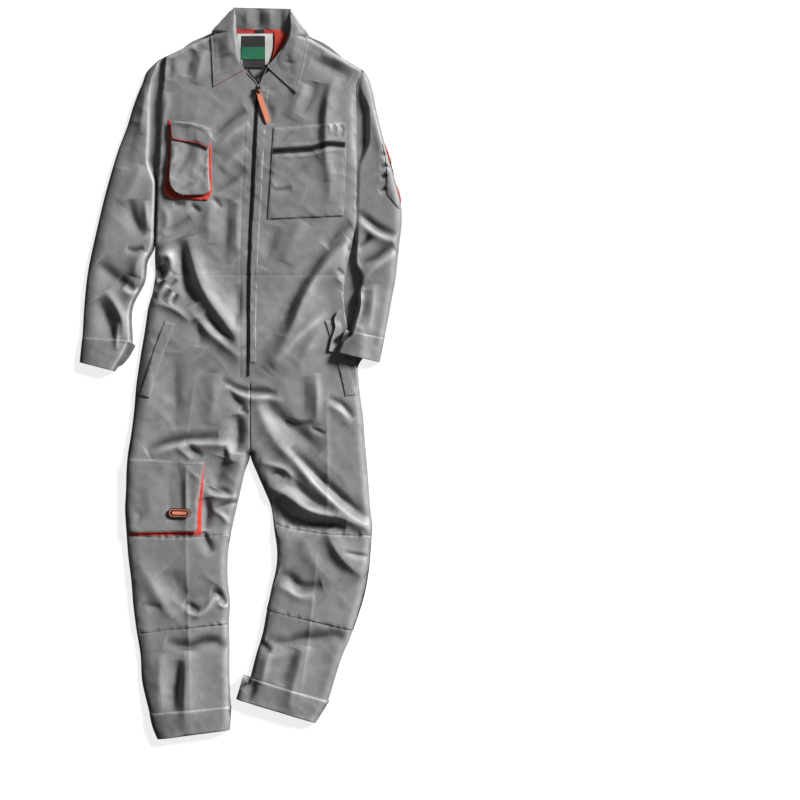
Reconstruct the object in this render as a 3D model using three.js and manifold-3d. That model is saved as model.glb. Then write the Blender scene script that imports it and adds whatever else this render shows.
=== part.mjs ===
// A work boiler suit laid face up on a flat surface, in millimetres, +Z up.
// +Y runs to the collar, and the wearer's right side lies at -X.
// Each cut piece is a thin wall. The back pieces lie flat on the surface, and the
// front pieces arch over them, roll down to the seams and carry the largest folds.

import * as THREE from 'three';
import { mergeVertices } from 'three/addons/utils/BufferGeometryUtils.js';
import Module from 'manifold-3d';

const wasm = await Module();
wasm.setup();

// Cloth and seams
const CLOTH = 1.5;
const DOUBLE_CLOTH = 2.4;
const TURNED_CLOTH = 2.6;
const SEAM_GAP = 0.3;
const ZIP_TAPE_THICKNESS = 1.2;

// How far the upper layer stands above the lower one, and how wide its edge rolls
const BODY_LOFT = 14;
const BODY_ROLL = 24;
const SLEEVE_LOFT = 12;
const SLEEVE_ROLL = 20;
const CUFF_LOFT = 9;
const CUFF_ROLL = 14;
const TURN_UP_LOFT = 15;
const TURN_UP_ROLL = 22;
const FOLD_FADE = 26;
const FOLD_END_SHARE = 0.35;

// The wearer's left sleeve lies over the hip, which it presses down
const PRESSED_HIP = 6;
const FREE_RISE = 60;
const HIP_SIDE_X = 262;
const HIP_FLOOR_X = 300;
const HIP_TOP_Y = 200;
const HIP_REST_Y = 158;
const PRESSED = { innerX: 165, outerX: 200, topY: 240, upperY: 190, lowerY: -10, bottomY: -35 };

// Columns of a panel, as shares of its width, finer where its edges roll
const BODY_COLUMNS = [0, 0.04, 0.12, 0.22, 0.33, 0.44, 0.56, 0.67, 0.78, 0.88, 0.96, 1];
const SLEEVE_COLUMNS = [0, 0.08, 0.22, 0.4, 0.6, 0.78, 0.92, 1];
const CUFF_COLUMNS = [0, 0.035, 0.09, 0.17, 0.3, 0.5, 0.7, 0.83, 0.91, 0.965, 1];
const TURN_UP_COLUMNS = [0, 0.022, 0.06, 0.12, 0.22, 0.36, 0.5, 0.64, 0.78, 0.88, 0.94, 0.978, 1];
const COLLAR_COLUMNS = [0, 0.2, 0.5, 0.8, 1];
const FLAT_COLUMNS = [0, 1];
const STEPS = 2;

// Turns rows of [left x, left y, right x, right y] into sections from top to hem
function sections(rows) {
  return rows.map(([leftX, leftY, rightX, rightY]) => ({
    left: new THREE.Vector3(leftX, leftY, 0),
    right: new THREE.Vector3(rightX, rightY, 0),
  }));
}

const FRONT_RIGHT = sections([
  [-164, 700, -63, 747],
  [-168, 672, -43, 703],
  [-173, 646, -14, 674],
  [-175, 617, 14, 661],
  [-176, 586, 37, 628],
  [-177, 547, 34, 575],
  [-179, 492, 31, 509],
  [-182, 437, 28, 443],
  [-184, 382, 25, 382],
  [-186, 327, 24, 327],
  [-189, 272, 22, 272],
  [-188, 217, 21, 217],
]);

const FRONT_LEFT = sections([
  [153, 739, 267, 670],
  [133, 703, 265, 654],
  [105, 679, 258, 637],
  [61, 663, 255, 617],
  [37, 628, 255, 586],
  [34, 575, 256, 547],
  [31, 509, 256, 492],
  [28, 443, 256, 437],
  [25, 382, 255, 382],
  [24, 327, 254, 333],
  [22, 272, 243, 274],
  [21, 217, 230, 217],
]);

const LEG_RIGHT = sections([
  [-188, 217, 21, 217],
  [-194, 179, 20, 170],
  [-204, 144, 20, 118],
  [-212, 91, 20, 63],
  [-221, 38, 20, 8],
  [-230, -23, 20, -47],
  [-235, -80, 21, -98],
  [-241, -129, 21, -142],
  [-249, -179, 21, -179],
  [-252, -217, 9, -217],
  [-253, -256, 0, -256],
  [-255, -300, -9, -296],
  [-252, -349, -20, -344],
  [-248, -402, -28, -395],
  [-241, -459, -29, -450],
  [-237, -509, -24, -503],
  [-230, -564, -26, -547],
  [-221, -619, -25, -604],
  [-217, -679, -25, -666],
  [-201, -748, -22, -731],
]);

const LEG_LEFT = sections([
  [21, 217, 230, 217],
  [20, 170, 227, 168],
  [20, 118, 232, 122],
  [20, 63, 245, 69],
  [20, 8, 257, 12],
  [20, -47, 263, -47],
  [21, -98, 270, -98],
  [21, -142, 273, -142],
  [21, -179, 277, -184],
  [36, -219, 280, -223],
  [52, -256, 283, -263],
  [67, -294, 286, -302],
  [74, -344, 290, -338],
  [80, -388, 286, -384],
  [78, -428, 282, -428],
  [68, -472, 273, -476],
  [57, -525, 258, -531],
  [48, -573, 241, -582],
  [34, -619, 220, -632],
  [21, -668, 193, -720],
]);

const SLEEVE_RIGHT = sections([
  [-182, 690, -164, 700],
  [-206, 666, -168, 672],
  [-217, 639, -173, 646],
  [-228, 613, -175, 617],
  [-239, 582, -176, 586],
  [-251, 542, -177, 547],
  [-270, 492, -179, 492],
  [-287, 437, -182, 437],
  [-302, 382, -184, 382],
  [-315, 327, -186, 327],
  [-329, 265, -190, 278],
  [-337, 223, -205, 245],
  [-342, 182, -211, 201],
  [-346, 133, -238, 144],
  [-349, 80, -238, 73],
]);

const SLEEVE_LEFT = sections([
  [267, 670, 275, 662],
  [265, 654, 283, 648],
  [258, 637, 288, 632],
  [255, 617, 293, 613],
  [255, 586, 298, 586],
  [256, 547, 307, 547],
  [256, 492, 322, 490],
  [256, 437, 338, 435],
  [255, 382, 352, 380],
  [254, 333, 355, 336],
  [251, 287, 350, 287],
  [250, 241, 345, 241],
  [263, 212, 341, 206],
  [257, 179, 334, 170],
  [257, 148, 327, 131],
  [243, 94, 317, 78],
]);

const CUFF_RIGHT = sections([
  [-349, 80, -238, 73],
  [-352, 53, -256, 38],
  [-355, 25, -277, 5],
]);

const CUFF_LEFT = sections([
  [232, 96, 317, 78],
  [222, 72, 312, 52],
  [211, 47, 306, 25],
]);

const TURN_UP_RIGHT = sections([
  [-201, -748, -21, -731],
  [-194, -778, -22, -758],
  [-183, -805, -24, -784],
]);

const TURN_UP_LEFT = sections([
  [6, -664, 195, -721],
  [-2, -691, 180, -746],
  [-10, -716, 165, -769],
]);

const BACK_BODICE = sections([
  [-66, 750, 150, 744],
  [-120, 724, 199, 718],
  [-163, 700, 245, 685],
  ...FRONT_RIGHT.slice(1).map((row, index) => [
    row.left.x, row.left.y, FRONT_LEFT[index + 1].right.x, FRONT_LEFT[index + 1].right.y,
  ]),
]);

const COLLAR_STAND = sections([
  [-12, 805, 108, 800],
  [-9, 778, 109, 773],
  [-7, 749, 104, 746],
]);

const COLLAR_LEAF_RIGHT = sections([
  [-25, 797, -12, 805],
  [-45, 772, -9, 778],
  [-64, 748, -7, 749],
  [-63, 712, -4, 723],
  [-61, 672, -1, 696],
  [-59, 631, 3, 671],
]);

const COLLAR_LEAF_LEFT = sections([
  [108, 800, 114, 791],
  [109, 773, 133, 767],
  [104, 746, 151, 740],
  [96, 721, 144, 698],
  [79, 697, 134, 657],
  [59, 674, 123, 616],
]);

const NECK_FACING_LEFT = sections([
  [78, 745, 96, 743],
  [72, 721, 90, 719],
  [58, 684, 66, 688],
]);

// Rows of [y, x] down the front closing, from the top of the zip to the fork
const CENTRE_LINE = [
  [628, 37], [575, 34], [509, 31], [443, 28], [382, 25], [327, 24], [272, 22], [217, 21],
  [170, 20], [-47, 20], [-98, 21], [-179, 21],
];
const ZIP_TOP_ROW = 4;
const FORK_ROW = 8;

// Rows of [name, points along the fold, half width, height], a trough being negative
const BODY_FOLDS = [
  ['waist trough right', [[-131, 294], [-131, 234], [-118, 184], [-67, 122], [-12, 63]], 13, -9],
  ['waist ridge right', [[-107, 245], [-89, 184], [-41, 122], [1, 65]], 9, 5],
  ['lower waist ridge right', [[-142, 166], [-89, 107], [-32, 61], [6, 34]], 9, 4],
  ['waist trough left', [[239, 298], [188, 265], [144, 204], [111, 144], [80, 61], [58, 19]], 13, -9],
  ['waist ridge left', [[215, 250], [170, 201], [138, 140], [107, 63]], 10, 5],
  ['hip ridge left', [[219, 142], [170, 122], [131, 85], [98, 34]], 8, 4],
  ['side pouch right', [[-182, 261], [-160, 256], [-153, 232]], 8, 5],
  ['belly trough', [[-32, 371], [-30, 258]], 11, -3],
  ['chest trough', [[-54, 520], [-21, 549], [25, 575]], 11, -4],
  ['lower chest trough', [[-54, 470], [-6, 509]], 10, -3],
  ['shoulder dip', [[-151, 668], [-111, 688]], 11, -3],
  ['chest fold left', [[182, 610], [184, 435]], 11, -3],
  ['fold under the zip', [[-63, 10], [-10, -23], [28, -34], [85, -47]], 8, -4],
  ['thigh trough right', [[-197, -162], [-155, -142], [-50, -133]], 9, -5],
  ['thigh ridge right', [[-193, -175], [-133, -155], [-52, -148], [-23, -182]], 9, 4],
  ['fork trough', [[-10, -89], [-6, -168]], 9, -4],
  ['hip trough left', [[69, -65], [111, -100], [157, -102]], 10, -4],
  ['thigh ridge left', [[78, -164], [166, -250], [215, -287], [278, -333]], 10, 6],
  ['thigh trough left', [[116, -166], [182, -239], [276, -311]], 9, -4],
  ['knee top ridge left', [[61, -248], [153, -296], [263, -346]], 9, 5],
  ['knee top trough left', [[74, -276], [131, -318], [215, -327]], 11, -8],
  ['knee trough left', [[175, -351], [197, -384], [228, -417], [265, -441]], 10, -5],
  ['inner knee trough left', [[80, -452], [124, -481], [179, -476]], 10, -5],
  ['knee hollow right', [[-186, -450], [-116, -503]], 18, -5],
  ['inner knee ridge right', [[-98, -525], [-52, -494]], 8, 4],
  ['shin trough right', [[-164, -588], [-100, -597], [-28, -600]], 9, -4],
  ['shin hollow right', [[-138, -639], [-142, -732]], 12, -7],
  ['shin trough left', [[72, -588], [157, -571], [230, -584]], 9, -5],
  ['shin hollow left', [[100, -619], [94, -690]], 14, -4],
  ['trough beside the thigh pocket', [[-74, -208], [-74, -344]], 11, -7],
];

const SLEEVE_FOLDS = [
  ['elbow bulge right', [[-234, 270], [-234, 215]], 15, 5],
  ['elbow trough right', [[-311, 232], [-250, 190]], 10, -5],
  ['cuff trough right', [[-300, 142], [-274, 82]], 9, -5],
  ['soft dip right', [[-234, 375], [-234, 329]], 11, -3],
  ['elbow crease left', [[258, 355], [300, 322], [340, 305]], 9, -4],
  ['forearm wedge left', [[333, 285], [296, 256], [256, 239]], 10, -6],
  ['armhole hollow left', [[270, 606], [270, 479]], 10, -6],
];

// The waist elastic draws the cloth up at both sides, in short gathers across its seam
const GATHERS = { count: 5, pitch: 11, length: 46, slant: 3, shortening: 0.12, halfWidth: 3.6, height: 3 };
const GATHER_PLACES = [
  { name: 'right', x: -182, y: 212, towards: 1 },
  { name: 'left', x: 224, y: 212, towards: -1 },
];

for (const place of GATHER_PLACES) {
  for (let index = 0; index < GATHERS.count; index += 1) {
    const x = place.x + place.towards * GATHERS.pitch * index;
    const reach = (GATHERS.length / 2) * (1 - GATHERS.shortening * index);
    BODY_FOLDS.push([
      `waist gather ${place.name} ${index}`,
      [[x, place.y + reach], [x + place.towards * GATHERS.slant, place.y - reach]],
      GATHERS.halfWidth,
      GATHERS.height,
    ]);
  }
}

// Outlines of what is sewn on, as corner points
const OUTLINES = {
  chestPocketRight: [[-156, 552], [-64, 540], [-65, 498], [-66, 397], [-76, 390], [-148, 394], [-160, 405]],
  chestGussetRight: [[-159, 540], [-61, 535], [-61, 396], [-68, 383], [-148, 384], [-166, 397], [-165, 416]],
  chestGussetRightInside: [[-146, 570], [-75, 570], [-77, 404], [-142, 406]],
  chestFlapRight: [[-154, 558], [-63, 543], [-66, 493], [-98, 506], [-154, 515]],
  chestPocketLeft: [[73, 540], [182, 541], [186, 552], [232, 553], [228, 348], [61, 339]],
  chestZipLeft: [[74, 498], [151, 500], [197, 509], [231, 509], [231, 495], [197, 495], [151, 486], [74, 484]],
  sleevePocketLeft: [[321, 507], [352, 505], [358, 375], [349, 362], [321, 398]],
  hipWeltRight: [[-166, 116], [-146, 109], [-194, -47], [-213, -38]],
  hipWeltLeft: [[206, 116], [186, 109], [233, -47], [253, -38]],
  thighPocket: [[-246, -184], [-78, -194], [-88, -349], [-245, -353]],
  thighGusset: [[-246, -200], [-76, -214], [-82, -354], [-245, -357]],
  thighGussetInside: [[-260, -160], [-92, -160], [-99, -340], [-260, -344]],
  kneePanelRight: [[-262, -361], [-10, -357], [-10, -549], [-120, -559], [-250, -572]],
  kneePanelLeft: [[60, -329], [142, -346], [197, -353], [300, -357], [262, -568], [163, -545], [40, -516]],
};
const PLACKET_WIDTH = 24;
const PLACKET_TOP_Y = 590;
const ZIP_HALF_WIDTH = 5;
const ZIP_TOP_Y = 632;
const ZIP_BOTTOM_Y = -6;
const BADGE = { x: -132, y: -306, length: 50, width: 21, turn: -0.05, endSteps: 6 };
const NECK_LABEL = { left: -6, right: 56, top: 745, bottom: 676, thickness: 0.9 };
const NECK_TAPE = { left: -7, right: 95, top: 760, bottom: 750 };
const HANGER_LOOP = { left: 35, right: 50, top: 757, bottom: 751 };
const CUFF_STUD = { x: -270, y: 44, radius: 4.5, height: 2.4 };

// Zip slider and its long pull tab, which leans towards the wearer's left
const SLIDER = { x: 38.5, y: 622, width: 11, length: 17, thickness: 2.6, noseShare: 0.6, clearance: 0.2 };
const BRIDGE = { width: 3, length: 8, height: 4.2, bar: 1.1, root: 0.5 };
const TAB = { length: 74, width: 11, thickness: 1.5, shoulder: 3, cornerRadius: 2 };
const TAB_EYE = { width: 8.4, length: 13, holeWidth: 5.2, holeLength: 8, endBar: 1.4 };
const TAB_DIRECTION = new THREE.Vector2(25, -73).normalize();
const TAB_DROOP = THREE.MathUtils.degToRad(2);

const clamp = THREE.MathUtils.clamp;
const lerp = THREE.MathUtils.lerp;
const smooth = THREE.MathUtils.smoothstep;

function centreX(y) {
  for (let index = 1; index < CENTRE_LINE.length; index += 1) {
    const [upperY, upperX] = CENTRE_LINE[index - 1];
    const [lowerY, lowerX] = CENTRE_LINE[index];
    if (y >= lowerY) {
      return lerp(lowerX, upperX, clamp((y - lowerY) / (upperY - lowerY), 0, 1));
    }
  }
  return CENTRE_LINE[CENTRE_LINE.length - 1][1];
}

// One edge of a panel, sampled with a fixed number of steps between its sections.
// A side named in kinds as straight runs in straight lines between them.
function edgePoints(rows, side, steps, kinds = {}) {
  const curve = new THREE.CatmullRomCurve3(rows.map((row) => row[side]));
  const centre = kinds.centre?.[side];
  const isStraight = kinds.straight?.includes(side);
  const count = (rows.length - 1) * steps;
  const points = [];
  for (let index = 0; index <= count; index += 1) {
    const row = index / steps;
    const above = Math.min(Math.floor(row), rows.length - 2);
    const point = isStraight
      ? rows[above][side].clone().lerp(rows[above + 1][side], row - above)
      : curve.getPoint(index / count);
    if (centre && row >= centre.from && row <= centre.to) {
      point.x = centreX(point.y);
    }
    points.push(point);
  }
  return points;
}

// The plan of a panel: a grid of points, drawn in by half a seam gap at every edge
function planGrid(rows, columns, kinds) {
  const left = edgePoints(rows, 'left', STEPS, kinds);
  const right = edgePoints(rows, 'right', STEPS, kinds);
  const grid = left.map((start, index) => {
    const end = right[index];
    const along = end.clone().sub(start).normalize().multiplyScalar(SEAM_GAP / 2);
    const from = start.clone().add(along);
    const to = end.clone().sub(along);
    return columns.map((share) => from.clone().lerp(to, share));
  });
  const last = grid.length - 1;
  drawIn(grid[0], grid[1]);
  drawIn(grid[last], grid[last - 1]);
  return grid;
}

function drawIn(row, nextRow) {
  row.forEach((point, index) => {
    const along = nextRow[index].clone().sub(point).normalize();
    point.addScaledVector(along, SEAM_GAP / 2);
  });
}

function distanceToPath(x, y, path) {
  let nearest = Infinity;
  let share = 0;
  for (let index = 1; index < path.length; index += 1) {
    const [startX, startY] = path[index - 1];
    const [endX, endY] = path[index];
    const runX = endX - startX;
    const runY = endY - startY;
    const place = clamp(((x - startX) * runX + (y - startY) * runY) / (runX * runX + runY * runY), 0, 1);
    const distance = Math.hypot(x - startX - runX * place, y - startY - runY * place);
    if (distance < nearest) {
      nearest = distance;
      share = (index - 1 + place) / (path.length - 1);
    }
  }
  return { distance: nearest, share };
}

function distanceToEdges(x, y, edges) {
  return Math.min(...edges.map((edge) => distanceToPath(x, y, edge).distance));
}

function asPath(points) {
  return points.map((point) => [point.x, point.y]);
}

// A rounded edge: 0 at the seam, 1 once the cloth has reached its full height
function roll(distance, radius) {
  const share = 1 - clamp(distance / radius, 0, 1);
  return Math.sqrt(1 - share * share);
}

// All folds together at one place, each as a soft bell that fades at both ends
function foldHeight(x, y, folds) {
  return folds.reduce((sum, [, path, halfWidth, height]) => {
    const { distance, share } = distanceToPath(x, y, path);
    if (distance > halfWidth * 3) {
      return sum;
    }
    const taper = lerp(FOLD_END_SHARE, 1, Math.sin(Math.PI * share));
    return sum + height * taper * Math.exp(-((distance / halfWidth) ** 2));
  }, 0);
}

const bodyEdges = [
  asPath(edgePoints(FRONT_RIGHT, 'left', 1)),
  asPath(edgePoints(FRONT_LEFT, 'right', 1)),
  asPath(edgePoints(LEG_RIGHT, 'left', 1)),
  asPath(edgePoints(LEG_LEFT, 'right', 1)),
  asPath(edgePoints(LEG_RIGHT, 'right', 1).slice(FORK_ROW)),
  asPath(edgePoints(LEG_LEFT, 'left', 1).slice(FORK_ROW)),
  asPath([FRONT_RIGHT[0].left, FRONT_RIGHT[0].right]),
  asPath([FRONT_LEFT[0].left, FRONT_LEFT[0].right]),
];

function sleeveEdges(rows) {
  return [
    asPath(edgePoints(rows, 'left', 1)),
    asPath(edgePoints(rows, 'right', 1)),
    asPath([rows[0].left, rows[0].right]),
  ];
}

const rightSleeveEdges = sleeveEdges(SLEEVE_RIGHT);
const leftSleeveEdges = sleeveEdges(SLEEVE_LEFT);

// 1 where the wearer's left sleeve rests on the hip, 0 where it lies on the surface
function overHip(x, y) {
  const across = 1 - smooth(x, HIP_SIDE_X, HIP_FLOOR_X);
  const down = 1 - smooth(y, HIP_REST_Y, HIP_TOP_Y);
  return across * down;
}

const LAYER = CLOTH + SEAM_GAP;
const FRONT_UNDERSIDE = LAYER;
const SLEEVE_REST_GAP = 1;
const HIP_CLEARANCE = FRONT_UNDERSIDE + PRESSED_HIP + CLOTH + LAYER + SLEEVE_REST_GAP;

function leftSleeveGround(x, y) {
  return HIP_CLEARANCE * overHip(x, y);
}

// How far the front layer stands off the back layer, on the body and on the sleeves
function bodyRise(x, y) {
  const distance = distanceToEdges(x, y, bodyEdges);
  const folds = foldHeight(x, y, BODY_FOLDS) * clamp(distance / FOLD_FADE, 0, 1);
  const rise = Math.max(BODY_LOFT * roll(distance, BODY_ROLL) + folds, 0);
  const across = smooth(x, PRESSED.innerX, PRESSED.outerX);
  const along = smooth(y, PRESSED.bottomY, PRESSED.lowerY) * (1 - smooth(y, PRESSED.upperY, PRESSED.topY));
  return Math.min(rise, lerp(FREE_RISE, PRESSED_HIP, across * along));
}

function sleeveRise(x, y, edges) {
  const distance = distanceToEdges(x, y, edges);
  const folds = foldHeight(x, y, SLEEVE_FOLDS) * clamp(distance / FOLD_FADE, 0, 1);
  return Math.max(SLEEVE_LOFT * roll(distance, SLEEVE_ROLL) + folds, 0);
}

const bodyTop = (x, y) => FRONT_UNDERSIDE + bodyRise(x, y) + CLOTH;
const rightSleeveTop = (x, y) => FRONT_UNDERSIDE + sleeveRise(x, y, rightSleeveEdges) + CLOTH;
const leftSleeveTop = (x, y) => {
  const ground = leftSleeveGround(x, y);
  return ground + FRONT_UNDERSIDE + sleeveRise(x, y, leftSleeveEdges) + CLOTH;
};

// A closed wall over a grid, between a lower and an upper height
function wall(grid, lower, upper) {
  const rowCount = grid.length;
  const columnCount = grid[0].length;
  const positions = [];
  for (const height of [lower, upper]) {
    for (const row of grid) {
      for (const point of row) {
        positions.push(point.x, point.y, height(point.x, point.y));
      }
    }
  }
  const layerSize = rowCount * columnCount;
  const at = (row, column, layer) => layer * layerSize + row * columnCount + column;
  const indices = [];
  for (let row = 0; row < rowCount - 1; row += 1) {
    for (let column = 0; column < columnCount - 1; column += 1) {
      const corners = [[row, column], [row + 1, column], [row + 1, column + 1], [row, column + 1]];
      const [a, b, c, d] = corners.map(([r, k]) => at(r, k, 1));
      indices.push(a, b, c, a, c, d);
      const [e, f, g, h] = corners.map(([r, k]) => at(r, k, 0));
      indices.push(e, g, f, e, h, g);
    }
  }
  const rowEnd = rowCount - 1;
  const columnEnd = columnCount - 1;
  const rows = Array.from({ length: rowEnd }, (_, index) => index);
  const columns = Array.from({ length: columnEnd }, (_, index) => index);
  const rim = [
    ...rows.map((row) => [row, 0]),
    ...columns.map((column) => [rowEnd, column]),
    ...rows.map((row) => [rowEnd - row, columnEnd]),
    ...columns.map((column) => [0, columnEnd - column]),
  ];
  rim.forEach(([row, column], index) => {
    const [nextRow, nextColumn] = rim[(index + 1) % rim.length];
    const lowStart = at(row, column, 0);
    const lowEnd = at(nextRow, nextColumn, 0);
    const highStart = at(row, column, 1);
    const highEnd = at(nextRow, nextColumn, 1);
    indices.push(lowStart, lowEnd, highEnd, lowStart, highEnd, highStart);
  });
  const geometry = new THREE.BufferGeometry();
  geometry.setAttribute('position', new THREE.Float32BufferAttribute(positions, 3));
  geometry.setIndex(indices);
  return geometry;
}

const raised = (height, amount) => (x, y) => height(x, y) + amount;

// A wall of constant thickness that lies a given height above a surface
function clothOver(grid, surface, lift, thickness = CLOTH) {
  return wall(grid, raised(surface, lift), raised(surface, lift + thickness));
}

function toSolid(geometry) {
  const bare = geometry.clone();
  bare.deleteAttribute('normal');
  bare.deleteAttribute('uv');
  const merged = mergeVertices(bare, 1e-4);
  const mesh = new wasm.Mesh({
    numProp: 3,
    vertProperties: new Float32Array(merged.attributes.position.array),
    triVerts: new Uint32Array(merged.index.array),
  });
  return new wasm.Manifold(mesh);
}

function toGeometry(solid) {
  const mesh = solid.getMesh();
  const geometry = new THREE.BufferGeometry();
  geometry.setAttribute('position', new THREE.Float32BufferAttribute(mesh.vertProperties, 3));
  geometry.setIndex(Array.from(mesh.triVerts));
  return geometry;
}

const CUTTER_LOW = -10;
const CUTTER_HEIGHT = 100;

function upright(points) {
  const shape = new THREE.Shape(points.map(([x, y]) => new THREE.Vector2(x, y)));
  const geometry = new THREE.ExtrudeGeometry(shape, { depth: CUTTER_HEIGHT, bevelEnabled: false });
  geometry.translate(0, 0, CUTTER_LOW);
  return toSolid(geometry);
}

// A piece that lies on a panel: the panel's own points, moved out, cut to an outline
function patch(grid, surface, outline, lift, thickness = CLOTH, inside = null) {
  let solid = toSolid(clothOver(grid, surface, lift, thickness)).intersect(upright(outline));
  if (inside) {
    solid = solid.subtract(upright(inside));
  }
  return toGeometry(solid);
}

// A flattened ring of cloth, open at both ends; its hollow keeps off the two creases
function ring(rows, columns, ground, loft, radius, thickness) {
  const grid = planGrid(rows, columns);
  const sides = ['left', 'right'].map((side) => asPath(edgePoints(rows, side, 1)));
  const creaseHeight = 2 * thickness + SEAM_GAP;
  const upper = (x, y) => ground(x, y) + creaseHeight + loft * roll(distanceToEdges(x, y, sides), radius);
  const outer = toSolid(wall(grid, ground, upper));
  const inner = grid.map((row) => row.slice(1, -1));
  const hollowGrid = [
    beyond(inner[0], inner[1]),
    ...inner,
    beyond(inner[inner.length - 1], inner[inner.length - 2]),
  ];
  const hollow = toSolid(wall(hollowGrid, raised(ground, thickness), raised(upper, -thickness)));
  return { geometry: toGeometry(outer.subtract(hollow)), upper };
}

const RING_OVERRUN = 6;

function beyond(row, nextRow) {
  return row.map((point, index) => {
    const along = point.clone().sub(nextRow[index]).normalize();
    return point.clone().addScaledVector(along, RING_OVERRUN);
  });
}

const suit = new THREE.Group();

const FABRIC = { color: 0x7d7d7f, roughness: 0.9, metalness: 0 };
const RED_CLOTH = { color: 0xd4452f, roughness: 0.85, metalness: 0 };
const BLACK_TAPE = { color: 0x1b1b1e, roughness: 0.7, metalness: 0 };
const LABEL_CLOTH = { color: 0xcfd2cc, roughness: 0.8, metalness: 0 };
const BLACK_METAL = { color: 0x222225, roughness: 0.4, metalness: 0.8 };
const ORANGE_TAB = { color: 0xe9734f, roughness: 0.6, metalness: 0 };
const STUD_METAL = { color: 0x6d6a66, roughness: 0.35, metalness: 0.9 };

function add(name, geometry, finish) {
  const mesh = new THREE.Mesh(geometry, new THREE.MeshStandardMaterial(finish));
  mesh.name = name;
  suit.add(mesh);
  return mesh;
}

const floor = () => 0;

// Armholes and side seams run straight between sections, so both pieces share them
const bothArmholes = { straight: ['left', 'right'] };
const armholeOnLeft = { straight: ['left'] };
const armholeOnRight = { straight: ['right'] };
const closing = { from: ZIP_TOP_ROW, to: FRONT_RIGHT.length };
const forkSeam = { from: 0, to: FORK_ROW };
const bodiceRightEdges = { straight: ['left'], centre: { right: closing } };
const bodiceLeftEdges = { straight: ['right'], centre: { left: closing } };
const legRightEdges = { centre: { right: forkSeam } };
const legLeftEdges = { centre: { left: forkSeam } };

// Lower layer: back bodice, backs of the legs and the under cuts of the sleeves
function flatPiece(rows, kinds) {
  return wall(planGrid(rows, FLAT_COLUMNS, kinds), floor, () => CLOTH);
}

add('back_bodice', flatPiece(BACK_BODICE, bothArmholes), FABRIC);
add('leg_back_right', flatPiece(LEG_RIGHT, legRightEdges), FABRIC);
add('leg_back_left', flatPiece(LEG_LEFT, legLeftEdges), FABRIC);
add('sleeve_under_right', flatPiece(SLEEVE_RIGHT, armholeOnRight), FABRIC);
const sleeveLeft = planGrid(SLEEVE_LEFT, SLEEVE_COLUMNS, armholeOnLeft);
add('sleeve_under_left', clothOver(sleeveLeft, leftSleeveGround, 0), FABRIC);

// Upper layer: front bodice, fronts of the legs and the top cuts of the sleeves
const frontRight = planGrid(FRONT_RIGHT, BODY_COLUMNS, bodiceRightEdges);
const frontLeft = planGrid(FRONT_LEFT, BODY_COLUMNS, bodiceLeftEdges);
const legRight = planGrid(LEG_RIGHT, BODY_COLUMNS, legRightEdges);
const legLeft = planGrid(LEG_LEFT, BODY_COLUMNS, legLeftEdges);
add('front_bodice_right', clothOver(frontRight, bodyTop, -CLOTH), FABRIC);
add('front_bodice_left', clothOver(frontLeft, bodyTop, -CLOTH), FABRIC);
add('leg_front_right', clothOver(legRight, bodyTop, -CLOTH), FABRIC);
add('leg_front_left', clothOver(legLeft, bodyTop, -CLOTH), FABRIC);
const sleeveRight = planGrid(SLEEVE_RIGHT, SLEEVE_COLUMNS, armholeOnRight);
add('sleeve_top_right', clothOver(sleeveRight, rightSleeveTop, -CLOTH), FABRIC);
add('sleeve_top_left', clothOver(sleeveLeft, leftSleeveTop, -CLOTH), FABRIC);

// Front closing: two zip tapes and the placket beside them, across the waist seam
const closingRight = [...frontRight.slice(0, -1), ...legRight];
const closingLeft = [...frontLeft.slice(0, -1), ...legLeft];

// An upright band beside the centre line, from one distance to another
function beside(near, far, top, bottom) {
  const levels = CENTRE_LINE.map(([y]) => y).filter((y) => y < top && y > bottom);
  const ys = [top, ...levels, bottom];
  const outward = ys.map((y) => [centreX(y) + near, y]);
  const back = ys.map((y) => [centreX(y) + far, y]).reverse();
  return [...outward, ...back];
}

const zipRightOutline = beside(-ZIP_HALF_WIDTH, 1, ZIP_TOP_Y, ZIP_BOTTOM_Y);
const zipLeftOutline = beside(-1, ZIP_HALF_WIDTH, ZIP_TOP_Y, ZIP_BOTTOM_Y);
const placketOuter = ZIP_HALF_WIDTH + PLACKET_WIDTH;
const placketOutline = beside(ZIP_HALF_WIDTH + 1, placketOuter, PLACKET_TOP_Y, ZIP_BOTTOM_Y);
add('zip_tape_right', patch(closingRight, bodyTop, zipRightOutline, SEAM_GAP, ZIP_TAPE_THICKNESS), BLACK_TAPE);
add('zip_tape_left', patch(closingLeft, bodyTop, zipLeftOutline, SEAM_GAP, ZIP_TAPE_THICKNESS), BLACK_TAPE);
add('front_placket', patch(closingLeft, bodyTop, placketOutline, SEAM_GAP), FABRIC);

// Pockets of the front bodice
add(
  'chest_gusset_right',
  patch(frontRight, bodyTop, OUTLINES.chestGussetRight, SEAM_GAP, CLOTH, OUTLINES.chestGussetRightInside),
  RED_CLOTH,
);
add('chest_pocket_right', patch(frontRight, bodyTop, OUTLINES.chestPocketRight, SEAM_GAP + LAYER), FABRIC);
add('chest_flap_right', patch(frontRight, bodyTop, OUTLINES.chestFlapRight, SEAM_GAP + 2 * LAYER), FABRIC);
add('chest_pocket_left', patch(frontLeft, bodyTop, OUTLINES.chestPocketLeft, SEAM_GAP), FABRIC);
add('chest_zip_left', patch(frontLeft, bodyTop, OUTLINES.chestZipLeft, SEAM_GAP + LAYER), BLACK_TAPE);
add('sleeve_pocket_left', patch(sleeveLeft, leftSleeveTop, OUTLINES.sleevePocketLeft, SEAM_GAP), FABRIC);

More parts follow.
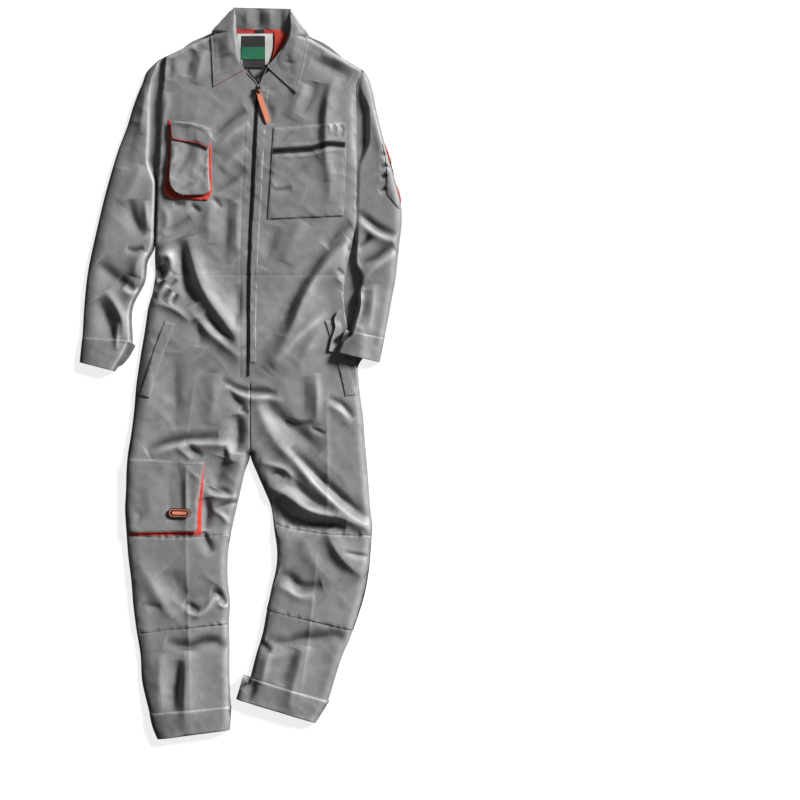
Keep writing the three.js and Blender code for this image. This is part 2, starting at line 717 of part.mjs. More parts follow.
// Pockets and knee panels of the legs
add('hip_welt_right', patch(legRight, bodyTop, OUTLINES.hipWeltRight, SEAM_GAP), FABRIC);
add('hip_welt_left', patch(legLeft, bodyTop, OUTLINES.hipWeltLeft, SEAM_GAP), FABRIC);
add(
  'thigh_gusset',
  patch(legRight, bodyTop, OUTLINES.thighGusset, SEAM_GAP, CLOTH, OUTLINES.thighGussetInside),
  RED_CLOTH,
);
add('thigh_pocket', patch(legRight, bodyTop, OUTLINES.thighPocket, SEAM_GAP + LAYER), FABRIC);
add('knee_panel_right', patch(legRight, bodyTop, OUTLINES.kneePanelRight, SEAM_GAP), FABRIC);
add('knee_panel_left', patch(legLeft, bodyTop, OUTLINES.kneePanelLeft, SEAM_GAP), FABRIC);

// A plain badge with round ends on the thigh pocket
function badgeOutline() {
  const radius = BADGE.width / 2;
  const straight = BADGE.length / 2 - radius;
  const points = [];
  for (const [side, start] of [[1, -Math.PI / 2], [-1, Math.PI / 2]]) {
    for (let step = 0; step <= BADGE.endSteps; step += 1) {
      const angle = start + (Math.PI * step) / BADGE.endSteps;
      points.push(new THREE.Vector2(side * straight + radius * Math.cos(angle), radius * Math.sin(angle)));
    }
  }
  return points.map((point) => {
    point.rotateAround(new THREE.Vector2(), BADGE.turn);
    return [point.x + BADGE.x, point.y + BADGE.y];
  });
}

add('thigh_badge', patch(legRight, bodyTop, badgeOutline(), SEAM_GAP + 2 * LAYER), ORANGE_TAB);

// Cuffs and turned-up hems, open flattened rings
const cuffRight = ring(CUFF_RIGHT, CUFF_COLUMNS, floor, CUFF_LOFT, CUFF_ROLL, CLOTH);
const cuffLeft = ring(CUFF_LEFT, CUFF_COLUMNS, leftSleeveGround, CUFF_LOFT, CUFF_ROLL, CLOTH);
add('cuff_right', cuffRight.geometry, FABRIC);
add('cuff_left', cuffLeft.geometry, FABRIC);
const turnUpRight = ring(TURN_UP_RIGHT, TURN_UP_COLUMNS, floor, TURN_UP_LOFT, TURN_UP_ROLL, TURNED_CLOTH);
const turnUpLeft = ring(TURN_UP_LEFT, TURN_UP_COLUMNS, floor, TURN_UP_LOFT, TURN_UP_ROLL, TURNED_CLOTH);
add('turn_up_right', turnUpRight.geometry, FABRIC);
add('turn_up_left', turnUpLeft.geometry, FABRIC);

const stud = new THREE.CylinderGeometry(CUFF_STUD.radius * 0.8, CUFF_STUD.radius, CUFF_STUD.height, 16);
stud.rotateX(Math.PI / 2);
const studMesh = add('cuff_stud_right', stud, STUD_METAL);
const studSeat = Math.max(...[-1, 0, 1].map((side) => {
  return cuffRight.upper(CUFF_STUD.x + side * CUFF_STUD.radius, CUFF_STUD.y);
}));
studMesh.position.set(CUFF_STUD.x, CUFF_STUD.y, studSeat + SEAM_GAP + CUFF_STUD.height / 2);

// Collar: the stand leans back from the neck seam, and two leaves fold over the fronts
const STAND_TOP = { y: 805, height: 12 };
const STAND_FOOT_Y = 749;
const standHeight = (x, y) => STAND_TOP.height * clamp((y - STAND_FOOT_Y) / (STAND_TOP.y - STAND_FOOT_Y), 0, 1);
const LEAF_CLEARANCE = 1.4;
const SHOULDER_MARGIN = 2;

// Rows of [y, height at the outer edge, height at the neck edge] of a collar leaf
const LEAF_HEIGHTS = [
  [800, 12, 12],
  [775, 7, 7],
  [748, 5, 3],
  [720, 19, 12],
  [690, 20, 21],
  [600, 20, 21],
];

function leafHeight(y, neckShare) {
  for (let index = 1; index < LEAF_HEIGHTS.length; index += 1) {
    const [upperY, upperOuter, upperNeck] = LEAF_HEIGHTS[index - 1];
    const [lowerY, lowerOuter, lowerNeck] = LEAF_HEIGHTS[index];
    if (y >= lowerY) {
      const share = clamp((y - lowerY) / (upperY - lowerY), 0, 1);
      return lerp(lerp(lowerOuter, upperOuter, share), lerp(lowerNeck, upperNeck, share), neckShare);
    }
  }
  return LEAF_HEIGHTS[LEAF_HEIGHTS.length - 1][1];
}

function overFront(x, y) {
  const isRight = x < centreX(y);
  const [start, end] = isRight
    ? [FRONT_RIGHT[0].left, FRONT_RIGHT[0].right]
    : [FRONT_LEFT[0].left, FRONT_LEFT[0].right];
  const share = (x - start.x) / (end.x - start.x);
  return y < lerp(start.y, end.y, share) + SHOULDER_MARGIN;
}

function collarLeaf(rows, neckSide) {
  const grid = planGrid(rows, COLLAR_COLUMNS);
  const heights = new Map();
  grid.forEach((row) => {
    row.forEach((point, column) => {
      const share = COLLAR_COLUMNS[column];
      const own = leafHeight(point.y, neckSide === 'right' ? share : 1 - share);
      const cloth = overFront(point.x, point.y) ? bodyTop(point.x, point.y) + LEAF_CLEARANCE : 0;
      heights.set(`${point.x},${point.y}`, Math.max(own, cloth));
    });
  });
  const surface = (x, y) => heights.get(`${x},${y}`);
  return clothOver(grid, surface, 0, DOUBLE_CLOTH);
}

const standGrid = planGrid(COLLAR_STAND, COLLAR_COLUMNS);
add('collar_stand', clothOver(standGrid, standHeight, 0), FABRIC);
add('collar_leaf_right', collarLeaf(COLLAR_LEAF_RIGHT, 'right'), FABRIC);
add('collar_leaf_left', collarLeaf(COLLAR_LEAF_LEFT, 'left'), FABRIC);

// Neck tape, hanger loop, label and the facing that shows inside the neck
function rectangle({ left, right, top, bottom }) {
  return [[left, top], [right, top], [right, bottom], [left, bottom]];
}

function flatGrid({ left, right, top, bottom }) {
  return [top, bottom].map((y) => [left, right].map((x) => new THREE.Vector3(x, y, 0)));
}

add('neck_tape', patch(standGrid, standHeight, rectangle(NECK_TAPE), LAYER, 1), RED_CLOTH);
add('hanger_loop', clothOver(flatGrid(HANGER_LOOP), standHeight, LAYER + 1 + SEAM_GAP, 1), BLACK_TAPE);
add('neck_label', clothOver(flatGrid(NECK_LABEL), floor, LAYER, NECK_LABEL.thickness), LABEL_CLOTH);
const facingGrid = planGrid(NECK_FACING_LEFT, FLAT_COLUMNS);
add('neck_facing_left', clothOver(facingGrid, floor, LAYER), RED_CLOTH);

// Zip slider with its bridge, and the pull tab whose end bar turns under the bridge
function block(width, length, height, x, y, z) {
  const geometry = new THREE.BoxGeometry(width, length, height);
  geometry.translate(x, y, z);
  return geometry;
}

const sliderSeat = Math.max(...[-1, 0, 1].map((end) => {
  return bodyTop(SLIDER.x, SLIDER.y + (end * SLIDER.length) / 2);
})) + 2 * SEAM_GAP + ZIP_TAPE_THICKNESS + SLIDER.clearance;
const sliderTop = sliderSeat + SLIDER.thickness;
const hingeHeight = sliderTop + (BRIDGE.height - BRIDGE.bar) / 2;
const tabAngle = Math.atan2(TAB_DIRECTION.y, TAB_DIRECTION.x);

const sliderShape = new THREE.Shape();
const sliderHalf = SLIDER.width / 2;
sliderShape.moveTo(-sliderHalf, SLIDER.length / 2);
sliderShape.lineTo(sliderHalf, SLIDER.length / 2);
sliderShape.lineTo(sliderHalf, 0);
sliderShape.lineTo(sliderHalf * SLIDER.noseShare, -SLIDER.length / 2);
sliderShape.lineTo(-sliderHalf * SLIDER.noseShare, -SLIDER.length / 2);
sliderShape.lineTo(-sliderHalf, 0);
sliderShape.closePath();
const sliderBody = new THREE.ExtrudeGeometry(sliderShape, { depth: SLIDER.thickness, bevelEnabled: false });
sliderBody.translate(SLIDER.x, SLIDER.y, sliderSeat);

const postHeight = BRIDGE.height + BRIDGE.root;
const postMiddle = postHeight / 2 - BRIDGE.root;
const postOffset = (BRIDGE.length - BRIDGE.bar) / 2;
const bridgePieces = [
  block(BRIDGE.bar, BRIDGE.width, postHeight, -postOffset, 0, postMiddle),
  block(BRIDGE.bar, BRIDGE.width, postHeight, postOffset, 0, postMiddle),
  block(BRIDGE.length, BRIDGE.width, BRIDGE.bar, 0, 0, BRIDGE.height - BRIDGE.bar / 2),
];
let slider = toSolid(sliderBody);
for (const piece of bridgePieces) {
  piece.rotateZ(tabAngle);
  piece.translate(SLIDER.x, SLIDER.y, sliderTop);
  slider = slider.add(toSolid(piece));
}
add('zip_slider', toGeometry(slider), BLACK_METAL);

// The tab is drawn along +X from its end bar, which is centred on the hinge
const tabShape = new THREE.Shape();
const tabHalf = TAB.width / 2;
const eyeHalf = TAB_EYE.width / 2;
const tabStart = -TAB_EYE.endBar / 2;
const shoulderEnd = TAB_EYE.length + TAB.shoulder;
const cornerStart = TAB.length - TAB.cornerRadius;
const cornerSide = tabHalf - TAB.cornerRadius;
tabShape.moveTo(tabStart, -eyeHalf);
tabShape.lineTo(TAB_EYE.length, -eyeHalf);
tabShape.lineTo(shoulderEnd, -tabHalf);
tabShape.lineTo(cornerStart, -tabHalf);
tabShape.quadraticCurveTo(TAB.length, -tabHalf, TAB.length, -cornerSide);
tabShape.lineTo(TAB.length, cornerSide);
tabShape.quadraticCurveTo(TAB.length, tabHalf, cornerStart, tabHalf);
tabShape.lineTo(shoulderEnd, tabHalf);
tabShape.lineTo(TAB_EYE.length, eyeHalf);
tabShape.lineTo(tabStart, eyeHalf);
tabShape.closePath();
const eyeHole = new THREE.Path();
const holeHalf = TAB_EYE.holeWidth / 2;
const holeStart = TAB_EYE.endBar / 2;
const holeEnd = holeStart + TAB_EYE.holeLength;
eyeHole.moveTo(holeStart, -holeHalf);
eyeHole.lineTo(holeStart, holeHalf);
eyeHole.lineTo(holeEnd, holeHalf);
eyeHole.lineTo(holeEnd, -holeHalf);
eyeHole.closePath();
tabShape.holes.push(eyeHole);
const tabGeometry = new THREE.ExtrudeGeometry(tabShape, {
  depth: TAB.thickness,
  bevelEnabled: false,
  curveSegments: 4,
});
tabGeometry.translate(0, 0, -TAB.thickness / 2);
tabGeometry.rotateY(TAB_DROOP);
const tabMesh = add('zip_pull_tab', tabGeometry, ORANGE_TAB);
tabMesh.rotation.z = tabAngle;
tabMesh.position.set(SLIDER.x, SLIDER.y, hingeHeight);

export default suit;
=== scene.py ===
import math
import bpy
import numpy as np
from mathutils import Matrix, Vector


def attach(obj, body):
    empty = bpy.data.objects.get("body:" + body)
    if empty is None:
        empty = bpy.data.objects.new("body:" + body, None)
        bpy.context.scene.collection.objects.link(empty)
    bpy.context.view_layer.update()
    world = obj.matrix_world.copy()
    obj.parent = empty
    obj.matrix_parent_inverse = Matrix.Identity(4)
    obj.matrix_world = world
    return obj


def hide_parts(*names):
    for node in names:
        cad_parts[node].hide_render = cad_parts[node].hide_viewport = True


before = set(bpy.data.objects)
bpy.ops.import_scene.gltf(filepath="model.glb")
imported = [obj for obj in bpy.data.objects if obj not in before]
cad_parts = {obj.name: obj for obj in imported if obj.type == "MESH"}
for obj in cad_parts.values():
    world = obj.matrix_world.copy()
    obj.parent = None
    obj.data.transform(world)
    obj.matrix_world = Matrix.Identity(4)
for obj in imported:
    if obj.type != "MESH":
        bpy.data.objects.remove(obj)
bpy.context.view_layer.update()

# Camera, floor and light
# The suit was photographed from straight above, so the camera looks straight down
# with a long lens. The light is a broad studio lamp on the wearer's left.
VIEW_MIDDLE = (0.351, -0.058)
VIEW_WIDTH = 1.76
CLOTH_LEVEL = 0.012
LENS_MM = 100
SENSOR_MM = 36

camera = bpy.data.objects.new("camera", bpy.data.cameras.new("camera"))
bpy.context.scene.collection.objects.link(camera)
camera.data.lens = LENS_MM
camera.data.sensor_width = SENSOR_MM
camera.location = (*VIEW_MIDDLE, CLOTH_LEVEL + VIEW_WIDTH * LENS_MM / SENSOR_MM)
bpy.context.scene.camera = camera

KEY_AZIMUTH = math.radians(37)
KEY_ELEVATION = math.radians(25)
KEY_SOFTNESS = math.radians(13)
key = bpy.data.objects.new("key_light", bpy.data.lights.new("key_light", "SUN"))
bpy.context.scene.collection.objects.link(key)
key.data.energy = 7.0
key.data.angle = KEY_SOFTNESS
key.rotation_euler = (0, math.pi / 2 - KEY_ELEVATION, KEY_AZIMUTH)

world = bpy.data.worlds.new("studio")
world.use_nodes = True
world.node_tree.nodes["Background"].inputs["Color"].default_value = (1, 1, 1, 1)
world.node_tree.nodes["Background"].inputs["Strength"].default_value = 0.09
bpy.context.scene.world = world
bpy.context.scene.view_settings.view_transform = "Standard"

FLOOR_SIZE = 9.0
bpy.ops.object.select_all(action="DESELECT")
bpy.ops.mesh.primitive_plane_add(size=FLOOR_SIZE, location=(0, 0, -0.0002))
floor = bpy.context.object
floor.name = "floor"
floor_finish = bpy.data.materials.new("floor_white")
floor_finish.use_nodes = True
floor_shader = floor_finish.node_tree.nodes["Principled BSDF"]
floor_shader.inputs["Base Color"].default_value = (0.3, 0.3, 0.3, 1)
floor_shader.inputs["Emission Color"].default_value = (1, 1, 1, 1)
floor_shader.inputs["Emission Strength"].default_value = 0.82
floor_shader.inputs["Roughness"].default_value = 0.9
floor_shader.inputs["Specular IOR Level"].default_value = 0.1
floor.data.materials.append(floor_finish)
floor.visible_diffuse = False
floor.visible_glossy = False

# Lower layer: the back bodice and the backs of the legs
# Plain twill panels that lie flat on the surface, with the fronts sewn to them at
# the side seams. All tables are in millimetres, from the collar down to the hem.
MM = 0.001
CLOTH = 1.3
NARROWEST_CUT = 0.0105


def smooth_line(points, steps):
    """A curve through points, with so many steps between each two."""
    p = np.asarray(points, float)
    p = np.vstack([2 * p[0] - p[1], p, 2 * p[-1] - p[-2]])
    t = np.linspace(0, 1, steps, endpoint=False)[:, None]
    spans = []
    for a, b, c, d in zip(p, p[1:], p[2:], p[3:]):
        bend = (2 * a - 5 * b + 4 * c - d) * t**2 + (3 * b - a - 3 * c + d) * t**3
        spans.append(0.5 * (2 * b + (c - a) * t + bend))
    return np.vstack([*spans, p[-2][None]])


def line_length(points):
    return float(np.hypot(*np.diff(np.asarray(points, float), axis=0).T[:2]).sum())


EDGE_COLUMNS = np.array([0, 0.5, 1.2, 2.2, 3.6, 5.4])


def plan(rows, spacing=3.0):
    """The plan of a panel: x and y of a grid between its left and right edges, finer near both."""
    rows = np.asarray(rows, float)
    longest = max(line_length(rows[:, :2]), line_length(rows[:, 2:]))
    steps = max(2, math.ceil(longest / spacing / (len(rows) - 1)))
    left = smooth_line(rows[:, :2], steps)
    right = smooth_line(rows[:, 2:], steps)
    width = float(np.hypot(*(right - left).T).max())
    edge = EDGE_COLUMNS if width > 4 * EDGE_COLUMNS[-1] else np.zeros(1)
    count = max(3, math.ceil((width - 2 * edge[-1]) / spacing) + 1)
    core = np.linspace(edge[-1], width - edge[-1], count)
    columns = np.concatenate([edge[:-1], core, (width - edge[:-1])[::-1]]) / width
    grid = left[:, None] + (right - left)[:, None] * columns[None, :, None]
    return grid[..., 0], grid[..., 1]


def shell(top, under):
    """Points and faces of a closed sheet between two grids of the same size."""
    rows, columns = top.shape[:2]
    index = np.arange(rows * columns).reshape(rows, columns)
    a, b = index[:-1, :-1], index[1:, :-1]
    c, d = index[1:, 1:], index[:-1, 1:]
    upper = np.stack([a, b, c, d], -1).reshape(-1, 4)
    lower = upper[:, ::-1] + rows * columns
    rim = np.concatenate([index[:-1, 0], index[-1, :-1], index[:0:-1, -1], index[0, :0:-1]])
    after = np.roll(rim, -1)
    side = np.stack([rim, rim + rows * columns, after + rows * columns, after], -1)
    points = np.concatenate([top.reshape(-1, 3), under.reshape(-1, 3)])
    return points, np.concatenate([upper, lower, side])


def sheet_area(points):
    """Area of a grid of points in space, and the length of its longest row and column."""
    across = np.linalg.norm(np.diff(points, axis=1), axis=2)
    along = np.linalg.norm(np.diff(points, axis=0), axis=2)
    cross = np.cross(points[1:, 1:] - points[:-1, :-1], points[1:, :-1] - points[:-1, 1:])
    area = np.linalg.norm(cross, axis=2).sum() / 2
    return area, across.sum(axis=1).max(), along.sum(axis=0).max()


def new_piece(name, points, faces, material, nodes, tone=None, uv=None, sharp=50):
    """A finished mesh in the row frame, that rides on the suit and stands for its nodes."""
    mesh = bpy.data.meshes.new(name)
    mesh.vertices.add(len(points))
    mesh.vertices.foreach_set("co", (points * MM).astype(np.float32).ravel())
    faces = np.asarray(faces)
    sides = faces.shape[1]
    mesh.loops.add(faces.size)
    mesh.loops.foreach_set("vertex_index", faces.astype(np.int32).ravel())
    mesh.polygons.add(len(faces))
    mesh.polygons.foreach_set("loop_start", np.arange(0, faces.size, sides, dtype=np.int32))
    mesh.update(calc_edges=True)
    mesh.validate()
    if uv is not None:
        layer = mesh.uv_layers.new(name="grain")
        layer.data.foreach_set("uv", uv[faces.ravel()].astype(np.float32).ravel())
    if tone is not None:
        attribute = mesh.attributes.new("tone", "FLOAT", "POINT")
        attribute.data.foreach_set("value", tone.astype(np.float32))
    mesh.shade_smooth()
    mesh.set_sharp_from_angle(angle=math.radians(sharp))
    mesh.materials.append(material)
    piece = bpy.data.objects.new(name, mesh)
    bpy.context.scene.collection.objects.link(piece)
    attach(piece, "suit")
    if nodes:
        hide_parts(*nodes)
    return piece


def cloth(name, x, y, height, material, nodes, thickness=CLOTH, grain=0.0, tone=None):
    """A cloth panel: its plan, the height of its upper side, and the nodes that it stands for."""
    top = np.stack([x, y, height], -1)
    under = np.stack([x, y, height - thickness], -1)
    points, faces = shell(top, under)
    c, s = math.cos(grain), math.sin(grain)
    uv = np.stack([x * c + y * s, y * c - x * s], -1).reshape(-1, 2) * MM
    tone = np.zeros(x.shape) if tone is None else tone
    piece = new_piece(
        name, points, faces, material, nodes,
        tone=np.concatenate([tone.ravel(), np.zeros(tone.size)]), uv=np.concatenate([uv, uv]),
    )
    area, width, length = sheet_area(top * MM)
    width, length = max(width, NARROWEST_CUT), max(length, NARROWEST_CUT)
    area = min(area, 0.999 * width * length)
    return piece


def nodes_of(material):
    tree = material.node_tree
    return tree.nodes, tree.links, tree.nodes["Principled BSDF"]


def twill(name, light, dark, roughness=0.78, sheen=0.12, bump=0.18):
    """Woven twill: a fine diagonal rib, uneven yarns along the grain, and painted highlight
    on ridges and painted shade down in creases, read from the tone attribute."""
    material = bpy.data.materials.new(name)
    material.use_nodes = True
    nodes, links, shader = nodes_of(material)
    uv = nodes.new("ShaderNodeUVMap")
    uv.uv_map = "grain"
    rib = nodes.new("ShaderNodeTexWave")
    rib.wave_type = "BANDS"
    rib.bands_direction = "DIAGONAL"
    rib.inputs["Scale"].default_value = 150
    rib.inputs["Distortion"].default_value = 0.6
    links.new(uv.outputs["UV"], rib.inputs["Vector"])
    stretch = nodes.new("ShaderNodeMapping")
    stretch.inputs["Scale"].default_value = (420, 60, 1)
    links.new(uv.outputs["UV"], stretch.inputs["Vector"])
    yarn = nodes.new("ShaderNodeTexNoise")
    yarn.inputs["Scale"].default_value = 1
    yarn.inputs["Detail"].default_value = 3
    links.new(stretch.outputs["Vector"], yarn.inputs["Vector"])
    cloud = nodes.new("ShaderNodeTexNoise")
    cloud.inputs["Scale"].default_value = 26
    cloud.inputs["Detail"].default_value = 4
    links.new(uv.outputs["UV"], cloud.inputs["Vector"])
    mixed = nodes.new("ShaderNodeMath")
    mixed.operation = "MULTIPLY_ADD"
    mixed.inputs[1].default_value = 0.34
    links.new(yarn.outputs["Fac"], mixed.inputs[0])
    half_cloud = nodes.new("ShaderNodeMath")
    half_cloud.operation = "MULTIPLY_ADD"
    half_cloud.inputs[1].default_value = 0.3
    half_cloud.inputs[2].default_value = 0.18
    links.new(cloud.outputs["Fac"], half_cloud.inputs[0])
    links.new(half_cloud.outputs[0], mixed.inputs[2])
    # The tone attribute carries painted highlight and painted shade into the colour
    painted_shading = nodes.new("ShaderNodeAttribute")
    painted_shading.attribute_name = "tone"
    toned = nodes.new("ShaderNodeMath")
    toned.operation = "ADD"
    links.new(mixed.outputs[0], toned.inputs[0])
    links.new(painted_shading.outputs["Fac"], toned.inputs[1])
    ramp = nodes.new("ShaderNodeValToRGB")
    ramp.color_ramp.elements[0].position = 0.0
    ramp.color_ramp.elements[0].color = (*dark, 1)
    ramp.color_ramp.elements[1].position = 1.0
    ramp.color_ramp.elements[1].color = (*light, 1)
    links.new(toned.outputs[0], ramp.inputs["Fac"])
    links.new(ramp.outputs["Color"], shader.inputs["Base Color"])
    relief = nodes.new("ShaderNodeMath")
    relief.operation = "MULTIPLY_ADD"
    relief.inputs[1].default_value = 0.6
    links.new(rib.outputs["Fac"], relief.inputs[0])
    links.new(yarn.outputs["Fac"], relief.inputs[2])
    bumped = nodes.new("ShaderNodeBump")
    bumped.inputs["Strength"].default_value = bump
    bumped.inputs["Distance"].default_value = 0.0005
    links.new(relief.outputs[0], bumped.inputs["Height"])
    links.new(bumped.outputs["Normal"], shader.inputs["Normal"])
    shader.inputs["Roughness"].default_value = roughness
    shader.inputs["Specular IOR Level"].default_value = 0.5
    shader.inputs["Sheen Weight"].default_value = sheen
    shader.inputs["Sheen Roughness"].default_value = 0.5
    return material


grey_twill = twill("grey_twill", light=(0.36, 0.36, 0.363), dark=(0.055, 0.055, 0.058), roughness=0.52)

FRONT_RIGHT = [
    ((-164, 700), (-63, 747)),
    ((-168, 672), (-43, 703)),
    ((-170, 646), (-14, 674)),
    ((-174, 617), (14, 661)),
    ((-176, 586), (37, 628)),
    ((-177, 547), (34, 575)),
    ((-179, 492), (31, 509)),
    ((-182, 437), (28, 443)),
    ((-184, 382), (25, 382)),
    ((-186, 327), (24, 327)),
    ((-189, 272), (22, 272)),
    ((-188, 217), (21, 217)),
]
FRONT_LEFT = [
    ((153, 739), (267, 670)),
    ((133, 703), (265, 654)),
    ((105, 679), (258, 637)),
    ((61, 663), (255, 617)),
    ((37, 628), (255, 586)),
    ((34, 575), (256, 547)),
    ((31, 509), (256, 492)),
    ((28, 443), (256, 437)),
    ((25, 382), (255, 382)),
    ((24, 327), (254, 333)),
    ((22, 272), (243, 274)),
    ((21, 217), (230, 217)),
]
LEG_RIGHT = [
    ((-188, 217), (21, 217)),
    ((-194, 179), (20, 170)),
    ((-204, 144), (20, 118)),
    ((-212, 91), (20, 63)),
    ((-221, 38), (20, 8)),
    ((-230, -23), (20, -47)),
    ((-235, -80), (21, -98)),
    ((-241, -129), (21, -142)),
    ((-249, -179), (21, -179)),
    ((-252, -217), (9, -217)),
    ((-253, -256), (0, -256)),
    ((-255, -300), (-9, -296)),
    ((-252, -349), (-20, -344)),
    ((-248, -402), (-28, -395)),
    ((-241, -459), (-29, -450)),
    ((-237, -509), (-24, -503)),
    ((-230, -564), (-26, -547)),
    ((-221, -619), (-25, -604)),
    ((-217, -679), (-25, -666)),
    ((-201, -748), (-22, -731)),
    ((-198, -759), (-23, -743)),
]
LEG_LEFT = [
    ((21, 217), (230, 217)),
    ((20, 170), (227, 168)),
    ((20, 118), (232, 122)),
    ((20, 63), (245, 69)),
    ((20, 8), (257, 12)),
    ((20, -47), (263, -47)),
    ((21, -98), (270, -98)),
    ((21, -142), (273, -142)),
    ((21, -179), (277, -184)),
    ((36, -219), (280, -223)),
    ((52, -256), (283, -263)),
    ((67, -294), (286, -302)),
    ((74, -344), (290, -338)),
    ((80, -388), (286, -384)),
    ((78, -428), (282, -428)),
    ((68, -472), (273, -476)),
    ((57, -525), (258, -531)),
    ((48, -573), (241, -582)),
    ((34, -619), (220, -632)),
    ((21, -670), (193, -721)),
    ((18, -681), (188, -730)),
]
# Between the waist and the left sleeve the back shows past the front, in deep shade
BACK_UNDER_SLEEVE = 46

def rows_of(table):
    return [(*left, *right) for left, right in table]


def back_rows(left_table, right_table, shown_from, shown_to):
    rows = []
    for (left, _), (_, right) in zip(left_table, right_table):
        past = BACK_UNDER_SLEEVE if shown_to < right[1] < shown_from else 0
        rows.append((*left, right[0] + past, right[1]))
    return rows


back_table = back_rows(FRONT_RIGHT[1:], FRONT_LEFT[1:], 345, 200)
x, y = plan([(-66, 750, 150, 744), (-120, 724, 199, 718), *back_table], 7)
cloth("back_bodice", x, y, np.full(x.shape, CLOTH), grey_twill, ["back_bodice"])
for name, table, past in (("leg_back_right", LEG_RIGHT, 0), ("leg_back_left", LEG_LEFT, 1)):
    rows = back_rows(table, table, 300, 60) if past else rows_of(table)
    x, y = plan(rows, 7)
    cloth(name, x, y, np.full(x.shape, CLOTH), grey_twill, [name])


# Upper layer: the two front halves of the bodice and the two trouser fronts
# They are sewn to the backs at the sides, stand off them with a rounded edge, and
# carry the creases of a suit that was worn, washed and laid down. A fold is named by
# where it lies, its path runs down or to the wearer's left, and its lit side is the
# one towards the lamp. Heights and widths are in millimetres, a trough being negative.
LAYER = 1.8
LOFT = 12.5
LIT_ROLL = 17
SHADED_ROLL = 30
ARMHOLE_ROLL = 17
SHOULDER_ROLL = 9

